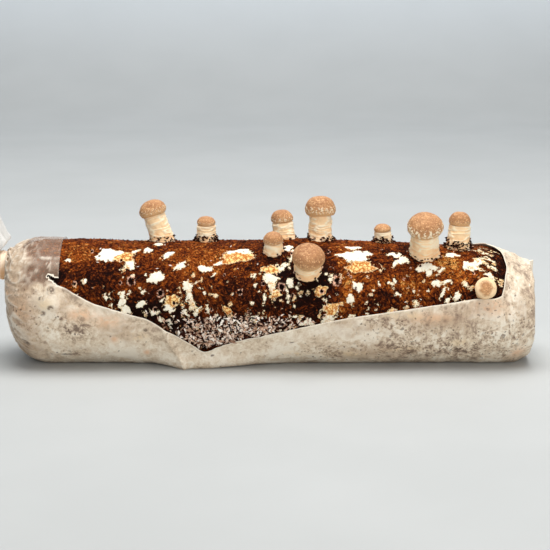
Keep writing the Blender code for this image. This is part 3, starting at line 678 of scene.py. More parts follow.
# The gathered neck: the middle of its band, its axis, and the shoulder that spreads from it down
# to the log (distance along the axis, half height, half depth)
NECK_CENTRE = np.array([-0.2132, 0.0, 0.0758])
NECK_RADIUS = 0.0070
NECK_LEAN = math.radians(3)
NECK_RIPPLE = 0.0005
SHOULDER = (-0.0052, 0.0104, 0.0120)
TAIL_LEAN = math.radians(52)
PLEATS = 8
PLEAT_DEPTH = 0.0012
BAND_WIDTH = 0.0075
BAND_THICKNESS = 0.0032
TAIL_START = 0.0018
TAIL_LENGTH = 0.040
TAIL_THICKNESS = 0.0035
# The tail's rings: share of its length, lean (degrees), and spread upwards and downwards
TAIL_RINGS = (
    (1.0, 60, 0.026, 0.022), (0.68, 52, 0.026, 0.019), (0.36, 47, 0.0245, 0.015),
    (0.14, 40, 0.0215, 0.010), (0.06, 15, 0.013, 0.0085),
)
SEAL_RISE = 0.0015
SEAL_HALF_HEIGHT = 0.0365
SEAL_WIDTH = 0.0036
SEAL_THICKNESS = 0.0012
SEAL_SLANT = 0.0012
SEAL_EAR = 0.0008
SEAL_FOOT = 0.0004
SEAL_ROUNDING = 0.12
# Columns over half the window, down the front, under the log, up the back, and over the window
BAG_SPANS = (20, 46, 8, 30, 20)
UNDERSIDE = (math.radians(150), math.radians(210))
BAG_COLUMNS = sum(BAG_SPANS)
RING_TURNS = np.arange(BAG_COLUMNS) / BAG_COLUMNS * 2 * math.pi
ROW_GAP = 0.00145


def edge_angle(edge, x):
    """The angle of one of the window's edges at a place along the log."""
    places, angles = zip(*edge)
    return np.radians(np.interp(x, places, angles))


def bag_angles(front, back):
    """The angles of a bag ring's points, from the window's middle once round the log."""
    turn, middle = 2 * math.pi, 0.5 * (front - back)
    stops = (middle, front, *UNDERSIDE, turn - back, turn + middle)
    spans = zip(stops, stops[1:], BAG_SPANS)
    return np.concatenate([np.linspace(low, high, count, endpoint=False) for low, high, count in spans])


def back_shift(x, angles):
    """How far the bag's points slide back along the log towards the window's right end."""
    signed = from_top(angles)
    places, shifts = zip(*RIGHT_END_SHAPE)
    shift = np.interp(signed, places, shifts, left=0.0, right=0.0)
    shift = np.where(signed < -48, RIGHT_END_SHAPE[0][1] * smooth_step(-signed, 150, 48), shift)
    return shift * smooth_step(x, 0.040, FRONT_CORNER)


def hang_flap(points, x, angles):
    """Moves the film below the window's lowest point off the log."""
    fade = smooth_step(x, FLAP_CENTRE - FLAP_LEFT, FLAP_CENTRE)
    fade *= smooth_step(x, FLAP_CENTRE + FLAP_RIGHT, FLAP_CENTRE)
    low_front = np.exp(-(((np.degrees(angles) - FLAP_ANGLE) / FLAP_SPREAD) ** 2))
    points[..., 1] -= FLAP_REACH * fade * low_front
    points[..., 2] -= FLAP_DROP * fade * low_front
    return points


def mark_ring(points, angles, *marks):
    """A ring's points with their angles and the same marks at each of them."""
    return np.column_stack([points, angles] + [np.full(len(angles), mark) for mark in marks])


def bag_ring(x, front, back, radius=LOG_RADIUS, rise=0.0, shift_share=0.0):
    """One ring of the bag: its points, and for each its angle, place and window edges."""
    angles = bag_angles(front, back)
    place = x + shift_share * back_shift(x, angles)
    points = round_log(place, angles, radius, rise, np.full(len(angles), SLACK + FILM))
    points = hang_flap(points, place, angles)
    points[:, 2] = np.maximum(points[:, 2], 0.0)
    return mark_ring(points, angles, x, front, back, 0.0)


def left_end_rings():
    """The bag round the log's rounded left end, standing off it at the top like a tent."""
    rings = []
    for turn in np.radians([90, 72, 54, 36, 18]):
        x = LEFT_END + LEFT_ROUNDING * (1 - math.sin(turn)) - (SLACK + FILM) * math.sin(turn)
        radius = LOG_RADIUS - LEFT_ROUNDING * (1 - math.cos(turn))
        rise = LEFT_END_RISE * (1 - math.cos(turn))
        ring = bag_ring(x, LEFT_SIDE_ANGLE, LEFT_SIDE_ANGLE, radius, rise)
        top = smooth_step(np.cos(ring[:, 3]), 0.25, 1.0)
        ring[:, 2] += (TENT_HEIGHT + TENT_RISE * (1 - math.cos(turn)) ** 3) * top
        rings.append(ring)
    return rings


def pleated_ring(along, way, lean, spread, thick, depth, stretch):
    """A pleated ring across the neck or tail: along is its distance out on a line that rises
    by the angle way, lean tips its plane, and spread is how far it goes upwards and downwards.
    """
    angles = 0.5 * bag_angles(LEFT_SIDE_ANGLE, LEFT_SIDE_ANGLE) + 0.5 * RING_TURNS
    pleat = depth * np.cos(PLEATS * RING_TURNS) + FILM
    across = np.cos(angles) * (np.where(np.cos(angles) > 0, *spread) + pleat)
    depthwise = -np.sin(angles) * (thick + pleat)
    up = np.array([math.sin(lean), 0.0, math.cos(lean)])
    centre = NECK_CENTRE + along * np.array([-math.cos(way), 0.0, math.sin(way)])
    points = centre + np.outer(across, up) + np.outer(depthwise, [0.0, 1.0, 0.0])
    return mark_ring(points, angles, LEFT_END - 0.01, LEFT_SIDE_ANGLE, LEFT_SIDE_ANGLE, stretch)


def neck_rings():
    """The bag from the tail's cut end, down through the band, to the gathered shoulder."""
    rings = []
    for share, ring_lean, *spread in TAIL_RINGS:
        along = BAND_WIDTH / 2 + TAIL_LENGTH * share
        way = NECK_LEAN + (TAIL_LEAN - NECK_LEAN) * math.sqrt(share)
        thick = NECK_RADIUS + (TAIL_THICKNESS - NECK_RADIUS) * share
        depth = PLEAT_DEPTH * (1 - 0.3 * share)
        rings.append(pleated_ring(along, way, math.radians(ring_lean), spread, thick, depth, 1.0 + share))
    tight = (NECK_LEAN, NECK_LEAN, (NECK_RADIUS, NECK_RADIUS), NECK_RADIUS, NECK_RIPPLE)
    rings.append(pleated_ring(BAND_WIDTH / 2 + TAIL_START, *tight, 1.0))
    rings.append(pleated_ring(-BAND_WIDTH / 2 - 0.0005, *tight, 0.9))
    along, high, thick = SHOULDER
    rings.append(pleated_ring(along + FILM, NECK_LEAN, NECK_LEAN, (high, high), thick, NECK_RIPPLE, 0.8))
    return rings


def seal_rings():
    """The foot and the tip of the seal's fin, which leans out and is drawn out to ears."""
    height = np.cos(RING_TURNS)
    side = -np.clip(np.sin(RING_TURNS) / SEAL_ROUNDING, -1, 1)
    centre = AXIS_HEIGHT - right_end(RIGHT_END)[1] + SEAL_RISE
    angles = bag_angles(RIGHT_SIDE_ANGLE, RIGHT_SIDE_ANGLE)
    rings = []
    for share, thickness in ((0.0, 2 * SEAL_THICKNESS), (1.0, SEAL_THICKNESS)):
        x = RIGHT_END + SLACK + FILM + SEAL_FOOT + share * (SEAL_WIDTH + SEAL_SLANT * height)
        ear = share * SEAL_EAR * np.abs(height) ** 8
        points = np.stack([x, side * thickness / 2, centre + height * (SEAL_HALF_HEIGHT + ear)], axis=1)
        place = RIGHT_END + share * SEAL_WIDTH
        rings.append(mark_ring(points, angles, place, RIGHT_SIDE_ANGLE, RIGHT_SIDE_ANGLE, -1.0))
    return rings


def bag_rings():
    """All of the bag's rings from the tail to the seal, and which two bound the window."""
    rings = neck_rings() + left_end_rings()
    first = len(rings) + BAG_PLACES.index(WINDOW_LEFT)
    for x in BAG_PLACES:
        rings.append(bag_ring(x, edge_angle(FRONT_EDGE, x), edge_angle(BACK_EDGE, x), shift_share=1.0))
    last = len(rings) - 1
    for x, share in PAST_CORNER:
        rings.append(bag_ring(x, RIGHT_SIDE_ANGLE, PAST_CORNER_BACK, shift_share=share))
    for place in BAG_END_PLACES:
        beyond = (SLACK + FILM) * (place - CONE_START) / (RIGHT_END - CONE_START)
        rings.append(bag_ring(place + beyond, RIGHT_SIDE_ANGLE, RIGHT_SIDE_ANGLE))
    return rings + seal_rings(), first, last


def rows_through(rings, gap):
    """Rows about one gap apart on a smooth curve through a stack of rings.

    Each stretch is a cubic that leaves and meets its rings at the slope of their neighbours.
    """
    rings = np.array(rings)
    steps = np.linalg.norm(np.diff(rings[..., :3], axis=0), axis=2).mean(axis=1)[:, None, None]
    slope = np.diff(rings, axis=0) / steps
    inner = (slope[:-1] * steps[1:] + slope[1:] * steps[:-1]) / (steps[:-1] + steps[1:])
    slopes = np.concatenate([slope[:1], inner, slope[-1:]])
    counts = np.maximum(1, np.round(steps.ravel() / gap)).astype(int)
    k = np.repeat(np.arange(len(counts)), counts)
    t = np.concatenate([np.arange(n) / n for n in counts])[:, None, None]
    rows = rings[k] * (2 * t**3 - 3 * t**2 + 1) + rings[k + 1] * (3 * t**2 - 2 * t**3)
    rows += steps[k] * (slopes[k] * (t**3 - 2 * t**2 + t) + slopes[k + 1] * (t**3 - t**2))
    return np.concatenate([rows, rings[-1:]]), np.concatenate([[0], np.cumsum(counts)])


def outward(points):
    """Unit directions out of a grid closed round each row."""
    down = np.gradient(points, axis=0)
    around = np.roll(points, -1, axis=1) - np.roll(points, 1, axis=1)
    normal = np.cross(around, down)
    return normal / np.maximum(np.linalg.norm(normal, axis=-1, keepdims=True), 1e-12)


# Marks in and under the film: place along the log (mm), angle (degrees), half sizes (mm)
FILM_MARKS = {
    # The pale marks lighten the film where it lies smooth: paler film there, and partly a painted
    # highlight.
    "pale": ((-173, 81, 9, 7), (-95, 129, 40, 15), (-30, 140, 40, 9), (2, 130, 34, 10),
        (195, 124, 8, 12), (60, 106, 45, 8), (-150, 86, 10, 4), (192, 70, 6, 30), (-136, 89, 11, 5)),
    "yellow": ((-174, 81, 7, 5), (-180, 24, 4, 3), (-104, 112, 8, 3), (104, 90, 14, 3),
        (62, 134, 18, 4), (104, 126, 14, 3), (148, 118, 9, 3), (20, 133, 10, 3)),
    "grime": ((-186, 98, 12, 12), (-178, 74, 5, 4), (-164, 92, 5, 5), (-151, 103, 15, 7),
        (-190, 120, 8, 8), (-158, 132, 10, 4), (172, 112, 13, 9), (186, 128, 9, 7), (45, 132, 30, 8),
        (120, 124, 50, 14), (190, 100, 8, 22), (-150, 250, 40, 30), (40, 265, 90, 25),
        (-196, 104, 10, 20), (96, 100, 30, 8)),
    "tan": ((-160, 80, 10, 9), (-116, 104, 17, 8), (-190, 84, 14, 15), (128, 96, 30, 8),
        (-185, 128, 14, 8), (155, 84, 22, 5), (72, 104, 26, 6), (80, 132, 30, 8), (196, 80, 6, 12)),
    "peach": ((-145, 90, 12, 5), (-126, 96, 12, 5), (-193, 88, 8, 14), (-121, 114, 3, 3),
        (-96, 131, 3, 3), (170, 80, 13, 7), (195, 134, 5, 8), (-204, 78, 6, 9), (124, 92, 20, 4)),
    "brown": ((-169, 69, 3.5, 3.5), (-128, 86, 1.3, 1.1), (-96, 105, 2.2, 1.6), (-45, 133, 1.4, 1.2),
        (-6, 122, 1.0, 1.0), (17, 118, 2.4, 0.7), (6, 143, 1.2, 1.0), (46, 123, 1.3, 1.4),
        (66, 119, 1.5, 1.0), (132, 132, 3.5, 1.8), (-190, 123, 3.5, 3.0), (-158, 133, 6, 1.5),
        (196, 60, 1.2, 1.2), (199, 73, 1.0, 1.6), (195, 85, 1.2, 1.0), (200, 97, 1.2, 1.8),
        (197, 106, 1.6, 1.2), (193, 118, 1.4, 1.6), (189, 78, 1.0, 1.0), (201, 50, 1.0, 1.0),
        (194, 98, 0.9, 1.1), (-176, 76, 2.4, 1.8), (-169, 84, 2.6, 1.8), (-175, 89, 2.2, 2.0),
        (184, 92, 1.8, 1.5), (190, 66, 1.0, 1.6), (120, 117, 1.6, 1.2)),
}
# A bulge of threads at the window's left corner, as a mark 68 mm round from the top, and its height
CORNER_BULGE, BULGE_HEIGHT = (-168, math.degrees(68 / LOG_RADIUS_MM), 7.0, 6.0), 0.0020
# The crease along the tent: its middle, distance round from the top, slope and half length (mm)
TENT_LINE = (-181, 30.95, 0.05, 13)
# Folds that slant down to the right under the window: where they start, and the step between
LOW_FOLDS_START, LOW_FOLDS_STEP = 150.0, 9.0


def soft_spot(flat, place, angle, half_x, half_round):
    """1 at a mark's middle, falling softly to 0 round it."""
    right, down = away_from(flat, place, angle)
    return np.exp(-((right / half_x) ** 2) - (down / half_round) ** 2)


def film_marks(kind, flat):
    """The soft spots of all marks of one kind."""
    return np.max([soft_spot(flat, *mark) for mark in FILM_MARKS[kind]], axis=0)


def window_distance(along, angle, front, back):
    """Distance from the cut-out window's edge, in metres, out over the film."""
    signed = np.radians(from_top(angle))
    beside = np.maximum(np.maximum(signed - front, -back - signed), 0.0) * FILM_RADIUS
    beyond = np.maximum(np.maximum(WINDOW_LEFT - along, along - FRONT_CORNER), 0.0)
    return np.hypot(beside, beyond)


def wrinkles(flat, sizes, seed):
    """Sharp ridges from 0 to 1, along the lines where drawn-out noise passes through zero."""
    return np.clip(1.0 - np.abs(layered_noise(flat, sizes, 2, seed)), 0, 1) ** 9


def film_folds(flat, angle, along):
    """Ridges of the film's wrinkles, from 0 to 1: fine ones, and pleats round the left end."""
    x, down = flat[..., 0], flat[..., 1]
    bent = flat + 3.0 * layered_noise(flat, 16.0, 2, 56)[..., None]
    right = smooth_step(x, 80, 170)
    folds = (0.7 - 0.3 * right) * wrinkles(bent, (40.0, 6.5, 1.0), 53)
    folds += (0.15 + 0.7 * right) * wrinkles(bent, (7.0, 34.0, 1.0), 54)
    folds *= smooth_step(lattice_noise(flat, 21.0, 57), -0.5, 0.4)
    middle, height, slope, length = TENT_LINE
    tent_line = np.exp(-np.abs(down - height - slope * (x - middle)) / 0.5)
    tent_line *= smooth_step(np.abs(x - middle), length, length - 4)
    low_line = down - 0.5 * (x - LOW_FOLDS_START) + 1.8 * layered_noise(flat, 12.0, 2, 50)
    low_line = np.abs(low_line % LOW_FOLDS_STEP - LOW_FOLDS_STEP / 2)
    low_line = np.exp(-low_line / 0.5) * smooth_step(x, 118, 135) * smooth_step(down, 92, 104)
    folds = np.maximum(folds, np.maximum(tent_line, 0.8 * low_line * (down < 118)))
    left = smooth_step(along, LEFT_END + 0.036, LEFT_END + 0.004)
    waver = 2.6 * lattice_noise(flat, (11.0, 17.0, 1.0), 55)
    pleats = 1.0 - np.abs(np.sin(6.5 * angle + waver))
    pleats = np.maximum(pleats, 1.0 - np.abs(np.sin(10.0 * angle - 1.7 * waver + 1.0)))
    return folds, left * np.clip(1.15 * pleats, 0, 1) ** 4


def film_relief(points, flat, along, angle, stretch, distance, folds, pleats):
    """How far the film stands out: nodules under it, wrinkles, pleats, crease and lip."""
    soft = 0.0006 * (0.4 + lattice_noise(points, (0.018, 0.012, 0.012), 51))
    nodules = 0.0008 * np.maximum(0.0, lattice_noise(points, 0.0075, 52)) ** 1.3
    nodules += 0.0004 * np.maximum(0.0, lattice_noise(points, 0.0038, 58))
    calm = film_marks("pale", flat) * smooth_step(flat[..., 0], -140, -100)
    left = smooth_step(along, LEFT_END + 0.034, LEFT_END)
    relief = (soft + (1.0 - 0.8 * calm) * nodules + 0.0006 * folds) * (1.0 - 0.6 * left)
    relief += 0.0012 * pleats * np.where(stretch > 0.85, 0.3, 1.0)
    degrees = np.degrees(angle)
    beside = along - (FOLD_TOP + (FOLD_FOOT - FOLD_TOP) * smooth_step(degrees, 100, 160))
    sharp = np.exp(-np.abs(beside) / np.where(beside < 0, 0.6 * FOLD_WIDTH, 0.22 * FOLD_WIDTH))
    sharp *= smooth_step(degrees, 96, 112) * smooth_step(degrees, 178, 150) * (degrees < 180)
    relief += 1.1 * FOLD_HEIGHT * sharp + BULGE_HEIGHT * soft_spot(flat, *CORNER_BULGE)
    ragged = 1.0 + 0.8 * lattice_noise(points, 0.0035, 59)
    return relief + 0.0007 * ragged * np.exp(-distance / 0.0016) * (stretch == 0.0)


# The slit past the window's left corner: place and angle of its tip; angle and width of its mouth
SLIT_TIP = (-0.1745, 53.0)
SLIT_MOUTH = (61.0, 4.4)


def slit_depth(along, angle):
    """How far inside the slit past the window's corner, as a share of its width there."""
    share = (along - SLIT_TIP[0]) / (WINDOW_LEFT - SLIT_TIP[0])
    middle = SLIT_TIP[1] + (SLIT_MOUTH[0] - SLIT_TIP[1]) * share
    flat = np.stack([along * 1000, np.degrees(angle), np.zeros_like(along)], axis=-1)
    ragged = 1.0 + 0.5 * lattice_noise(flat, 2.0, 61)
    width = SLIT_MOUTH[1] * np.clip(share, 0.0, 1.0) * ragged + 0.05
    inside = 1.0 - np.abs(np.degrees(angle) - middle) / np.maximum(width, 0.8)
    inside = np.where(share < 0.0, -1.0 + share, inside)
    return np.where(along > WINDOW_LEFT + 0.0006, -1.0, np.clip(inside, -1.0, 1.0))


def build_film():
    """The bag as one thin sheet with the window left out of it.

    Smooth rows run through the rings and are pushed outwards by the film's relief. The fin's
    last row is zipped shut, column against column.
    """
    rings, first, last = bag_rings()
    rows, starts = rows_through(rings, ROW_GAP)
    points, (angle, along, front, back, stretch) = rows[..., :3], np.moveaxis(rows[..., 3:], -1, 0)
    end_face = RIGHT_END + SLACK + FILM
    beyond = (stretch < 0) & (along > 0)
    points[..., 0] = np.where(beyond, np.maximum(points[..., 0], end_face), points[..., 0])
    distance = window_distance(along, angle, front, back)
    flat = on_log(along, angle)
    folds, pleats = film_folds(flat, angle, along)
    relief = film_relief(points, flat, along, angle, stretch, distance, folds, pleats)
    points = points + outward(points) * (relief * smooth_step(-stretch, 1.0, 0.2))[..., None]
    points[..., 2] = np.maximum(points[..., 2], 0.0)

    x, degrees = flat[..., 0], from_top(angle)
    waver = 5.0 * layered_noise(flat, 9.0, 4, 62)
    clear = smooth_step(x + waver, -196, -188) * smooth_step(x, -150, -160)
    clear *= smooth_step(degrees + waver, 70, 62) * smooth_step(degrees, -95, -70)
    tan = np.maximum(smooth_step(x + waver, -172, -192), 0.8 * film_marks("tan", flat + waver[..., None]))
    lip = np.where(along < WINDOW_LEFT + 0.0005, 0.25, 0.8) * np.exp(-distance / 0.0007)
    values = {key: film_marks(key, flat) for key in ("pale", "yellow", "grime", "peach", "brown")}
    values.update({
        "clear": clear, "tan": tan * (stretch < 0.95), "lip": lip * (stretch == 0.0),
        # The fold ridges also drive a painted highlight in the film's colour.
        "fold_highlight": np.maximum(folds, pleats), "slit": slit_depth(along, angle),
        "right": smooth_step(x, 60, 150) * (stretch >= 0.0),
        "tail": smooth_step(stretch, 1.0, 1.15), "seal": smooth_step(-stretch, 0.0, 0.6),
    })

    keep = np.ones((len(rows) - 1, BAG_COLUMNS), bool)
    for over_window in (slice(None, BAG_SPANS[0]), slice(-BAG_SPANS[-1], None)):
        keep[starts[first]:starts[last], over_window] = False
    half = BAG_COLUMNS // 2
    tip = (len(rows) - 1) * BAG_COLUMNS
    k = np.arange(1, half - 1)
    zip_quads = tip + np.stack([k, BAG_COLUMNS - k, BAG_COLUMNS - k - 1, k + 1], axis=-1)
    zip_ends = tip + np.array([[0, BAG_COLUMNS - 1, 1], [half - 1, half + 1, half]])
    faces = [grid_faces(len(rows), BAG_COLUMNS)[keep], zip_quads, zip_ends]
    return new_mesh("cut_film_bag", points.reshape(-1, 3), [face[:, ::-1] for face in faces], values)


FILM_DARK = (0.230, 0.160, 0.115, 1)
FILM_GREY = (0.450, 0.340, 0.250, 1)
FILM_CREAM = (0.725, 0.585, 0.425, 1)
FILM_WHITE = (0.930, 0.845, 0.705, 1)
FILM_PEACH = (0.860, 0.560, 0.350, 1)
FILM_YELLOW = (0.840, 0.640, 0.390, 1)
FILM_TAN = (0.440, 0.285, 0.175, 1)
FILM_CLEAR = (0.400, 0.250, 0.165, 1)
FILM_TAIL = (0.860, 0.850, 0.820, 1)
SPOT_BROWN = (0.085, 0.040, 0.020, 1)


def make_film_material():
    """Milky film over pale threads: cloudy cream and grey, specks, painted highlights along the folds, and
    a clear stretch.
    """
    look = Look("milky_film", Roughness=0.38, Specular_IOR_Level=0.35)
    place, stored = look.place, look.stored
    right, grime, fold_highlight, clear, tail = map(stored, ("right", "grime", "fold_highlight", "clear", "tail"))
    broad = place.noise(38, 9, 0.5)
    middle = place.noise(130, 6, 0.8)
    fine = place.noise(330, 6, 1.0)
    upright = place.node("ShaderNodeMapping", {"Vector": place, "Scale": (1.0, 0.2, 0.2)})
    streaks = (upright.noise(210, 5, 0.4) - 0.5) * right
    rough = (middle + fine - 1.04) * grime
    # The pale marks lighten the tone: paler smooth film, and partly a painted highlight.
    tone = 1.25 * broad + 0.9 * middle + 0.95 * fine + 0.9 * streaks + 1.4 * rough
    tone = tone + 0.26 * stored("pale") - 0.05 * grime + 0.30 * fold_highlight - 1.02
    colour = tone.ramp((0.10, FILM_DARK), (0.85, FILM_WHITE), (0.32, FILM_GREY), (0.52, FILM_CREAM))
    peach = stored("peach") * middle.between(0.38, 0.58, 0.30, 1.0)
    colour = peach.mix(colour, FILM_PEACH)
    tan = stored("tan") * fine.between(0.38, 0.62, 0.25, 0.80)
    colour = tan.mix(colour, FILM_TAN)
    # The folds, which also lighten the tone above, are whitened as a painted highlight along their ridges.
    colour = fold_highlight.between(0.45, 0.95, 0.0, 0.6).mix(colour, FILM_WHITE)
    yellow = stored("yellow") * middle.between(0.42, 0.58, 0.0, 0.75)
    colour = yellow.mix(colour, FILM_YELLOW)

    share = 0.50 * grime + 0.12 * right + 0.03
    small = use_group(specks, place, Scale=380, Size=0.36, Share=share)["Mask"]
    large = use_group(specks, place, Scale=150, Size=0.26, Share=0.5 * share)["Mask"]
    blotch = (middle + 0.8 * fine - 0.4).between(0.44, 0.60, 0.1, 0.8)
    dark = stored("brown").between(0.15, 0.70) * blotch
    dark = dark.most(small * fine.between(0.40, 0.60, 0.2, 0.85))
    dark = dark.most(large * middle.between(0.46, 0.62, 0.0, 0.65))
    colour = dark.mix(colour, SPOT_BROWN)

    # In the clear stretch the folds turn white as well, a painted highlight.
    colour = clear.mix(colour, (0.9 * fold_highlight).mix(FILM_CLEAR, FILM_WHITE))
    colour = tail.mix(colour, FILM_TAIL)
    slit = stored("slit") + 0.8 * place.noise(900, 3) - 0.4
    bright = stored("lip").most(slit.between(-0.75, -0.25)).most(0.95 * stored("seal"))
    opaque = 0.5 * (clear * fold_highlight) - 0.66 * clear - 0.35 * tail + 0.90
    # Through the slit the film is see-through, onto skin that is darkened there as painted shadow.
    fill(look.shader, {"Alpha": opaque.most(0.9 * bright) * slit.between(0.12, -0.02)})
    return look.finish(bright.mix(colour, FILM_WHITE), 0.6 * fine + 0.6 * streaks + 0.3 * broad, 0.0008)


bag = new_piece(build_film(), make_film_material(), "film", "film_bag")
wall = bag.modifiers.new("film_thickness", "SOLIDIFY")
wall.thickness = FILM
wall.offset = -1.0

# The neck band: a ring of peach-coloured rubber. It is wound three times round the gathered end
# of the bag, and its own pull holds the bag closed.

BAND_TURNS = 3
BAND_GAP = 0.0003
BAND_ROWS, BAND_COLUMNS = 160, 72


def full_circle(count):
    """Evenly spread angles of the points of a ring."""
    return np.linspace(0, 2 * math.pi, count, endpoint=False)


def build_band():
    """Three rounded strands side by side, as a closed ring round the neck's leaning axis."""
    hole = NECK_RADIUS + NECK_RIPPLE + FILM + BAND_GAP
    axis = np.array([-math.cos(NECK_LEAN), 0.0, math.sin(NECK_LEAN)])
    upward = np.array([math.sin(NECK_LEAN), 0.0, math.cos(NECK_LEAN)])
    turns = full_circle(BAND_ROWS)[:, None]
    around = full_circle(BAND_COLUMNS)[None, :]
    strands = 1.0 + 0.12 * np.cos(2 * BAND_TURNS * around) + 0.04 * np.sin(3 * turns + 5 * around)
    reach = hole + BAND_THICKNESS / 2 * (1 + strands * np.cos(around))
    shift = BAND_WIDTH / 2 * strands * np.sin(around)
    out = np.cos(turns)[..., None] * upward + np.sin(turns)[..., None] * [0.0, 1.0, 0.0]
    points = NECK_CENTRE + shift[..., None] * axis + reach[..., None] * out
    faces = grid_faces(BAND_ROWS + 1, BAND_COLUMNS).reshape(-1, 4) % (BAND_ROWS * BAND_COLUMNS)
    return new_mesh("wound_band", points.reshape(-1, 3), [faces])


BAND_PEACH = (0.85, 0.64, 0.46, 1)
BAND_ORANGE = (0.87, 0.48, 0.22, 1)
BAND_DUST = (0.88, 0.76, 0.62, 1)


def make_band_material():
    """Peach rubber, paler on top and more orange towards the bottom, with dusty blotches."""
    look = Look("peach_rubber", Roughness=0.55)
    cloud = look.place.noise(150, 5)
    height = look.place.node("ShaderNodeSeparateXYZ", {0: look.place}, 2)
    low = height.between(NECK_CENTRE[2] + 0.005, NECK_CENTRE[2] - 0.008)
    colour = low.mix(BAND_PEACH, BAND_ORANGE)
    colour = cloud.between(0.4, 0.7, 0.0, 0.5).mix(colour, BAND_DUST)
    return look.finish(colour, cloud, 0.0006)


new_piece(build_band(), make_band_material(), "band", "neck_band")

# The mushrooms: ten young shiitake that pushed out of the skin. Each has a thick pale stem with
# shaggy rings, a tan cap with its rim still rolled in, and pale tufts of scales near the rim.

# Place along the log, angle round it, lean to the front, lean to the left, cap radius, cap
# height, stem radius, stem length (mm and degrees); then strength of tufts, and cap's darkness
Mushroom = namedtuple("Mushroom", (
    "along", "angle", "lean_front", "lean_left", "cap_radius", "cap_height", "stem_radius",
    "stem_length", "tufts", "darkness"))
MUSHROOMS = tuple(Mushroom(*row) for row in (
    (-86.0, -7, 1, 17, 10.9, 10.7, 9.0, 22.4, 0.45, 0.50),
    (-50.9, -7, 4, 0, 7.2, 6.2, 7.7, 12.7, 0.35, 0.30),
    (11.4, -11, -1, 6, 8.8, 9.6, 9.0, 14.8, 0.55, 0.60),
    (2.7, 23.5, 16, 1, 7.6, 7.8, 7.4, 7.4, 0.40, 0.60),
    (40.3, -7, 1, 0.5, 11.8, 14.0, 9.3, 21.9, 0.65, 0.55),
    (29.6, 46, 36, 0, 12.7, 11.5, 10.0, 9.5, 0.25, 0.75),
    (90.4, -4, 4, 4, 6.7, 5.3, 7.1, 9.8, 0.20, 0.25),
    (121.5, 21, 24, 2, 13.9, 12.6, 11.2, 21.2, 0.85, 0.55),
    (149.6, 3, 4, -2, 8.6, 9.8, 9.0, 18.2, 0.35, 0.45),
    (166.0, 65, 68, 0, 8.4, 4.8, 7.2, 9.2, 0.10, 0.50),
))
TOUCH_GAP = 0.0003
FOOT_DEPTH = 0.0004
STEM_ROWS, STEM_COLUMNS = 90, 110
# The stem's width at shares of its length, from the foot up; low stems have a narrow foot
STEM_HEIGHTS, STEM_WIDTHS = (0, 0.22, 0.60, 0.97, 1.0), (1.0, 0.94, 0.92, 0.84)
FOOT_WIDTH, NARROW_FOOT_WIDTH = 1.06, 0.80
CAP_COLUMNS = 132
CAP_ROW_GAP = 0.00042
# The cap's half outline as shares of its radius and height: the dome, then the rolled rim, or a
# plain one where the stem is nearly as wide, then the veil below
DOME = ((0.0, 1.0), (0.22, 0.985), (0.45, 0.94), (0.76, 0.76), (0.94, 0.50), (1.0, 0.27), (0.97, 0.08))
ROLLED_RIM, PLAIN_RIM, VEIL = ((0.88, -0.06), (0.78, 0.0)), ((0.88, 0.0),), ((0.4, 0.0), (0.02, 0.0))
GOLDEN_TURN = 2.39996
TUFT_HEIGHT = 0.0006


def grow_frame(mushroom):
    """A mushroom's foot on the log, the way it grows, and two directions across that."""
    x, around = 0.001 * mushroom.along, math.radians(mushroom.angle)
    shrink, fall = right_end(x)
    reach = LOG_RADIUS - shrink
    foot = np.array([x, -reach * math.sin(around), AXIS_HEIGHT - fall + reach * math.cos(around)])
    left, front = math.radians(mushroom.lean_left), math.radians(mushroom.lean_front)
    axis = np.array([-math.tan(left), -math.tan(front), 1.0])
    axis /= np.linalg.norm(axis)
    across = np.cross([0.0, 1.0, 0.0], axis)
    across /= np.linalg.norm(across)
    return foot, axis, across, np.cross(axis, across)


def drop_to_log(points, axis, gap):
    """Slides points down along axis to the log's skin, and leaves a gap there."""
    moved = np.array(points, float)
    for _ in range(30):
        shrink, fall = right_end(moved[..., 0])
        height = moved[..., 2] - AXIS_HEIGHT + fall
        angle = np.arctan2(-moved[..., 1], height)
        skin = LOG_RADIUS - shrink + swelling(moved[..., 0], angle)
        spare = np.hypot(moved[..., 1], height) - skin - gap
        moved = moved - 0.6 * spare[..., None] * axis
    return moved


def turned_round(outline, turns):
    """Points of an outline of radius and height, turned round the upright axis."""
    radius, height = outline[..., 0], outline[..., -1]
    return np.stack(np.broadcast_arrays(radius * np.cos(turns), radius * np.sin(turns), height), axis=-1)


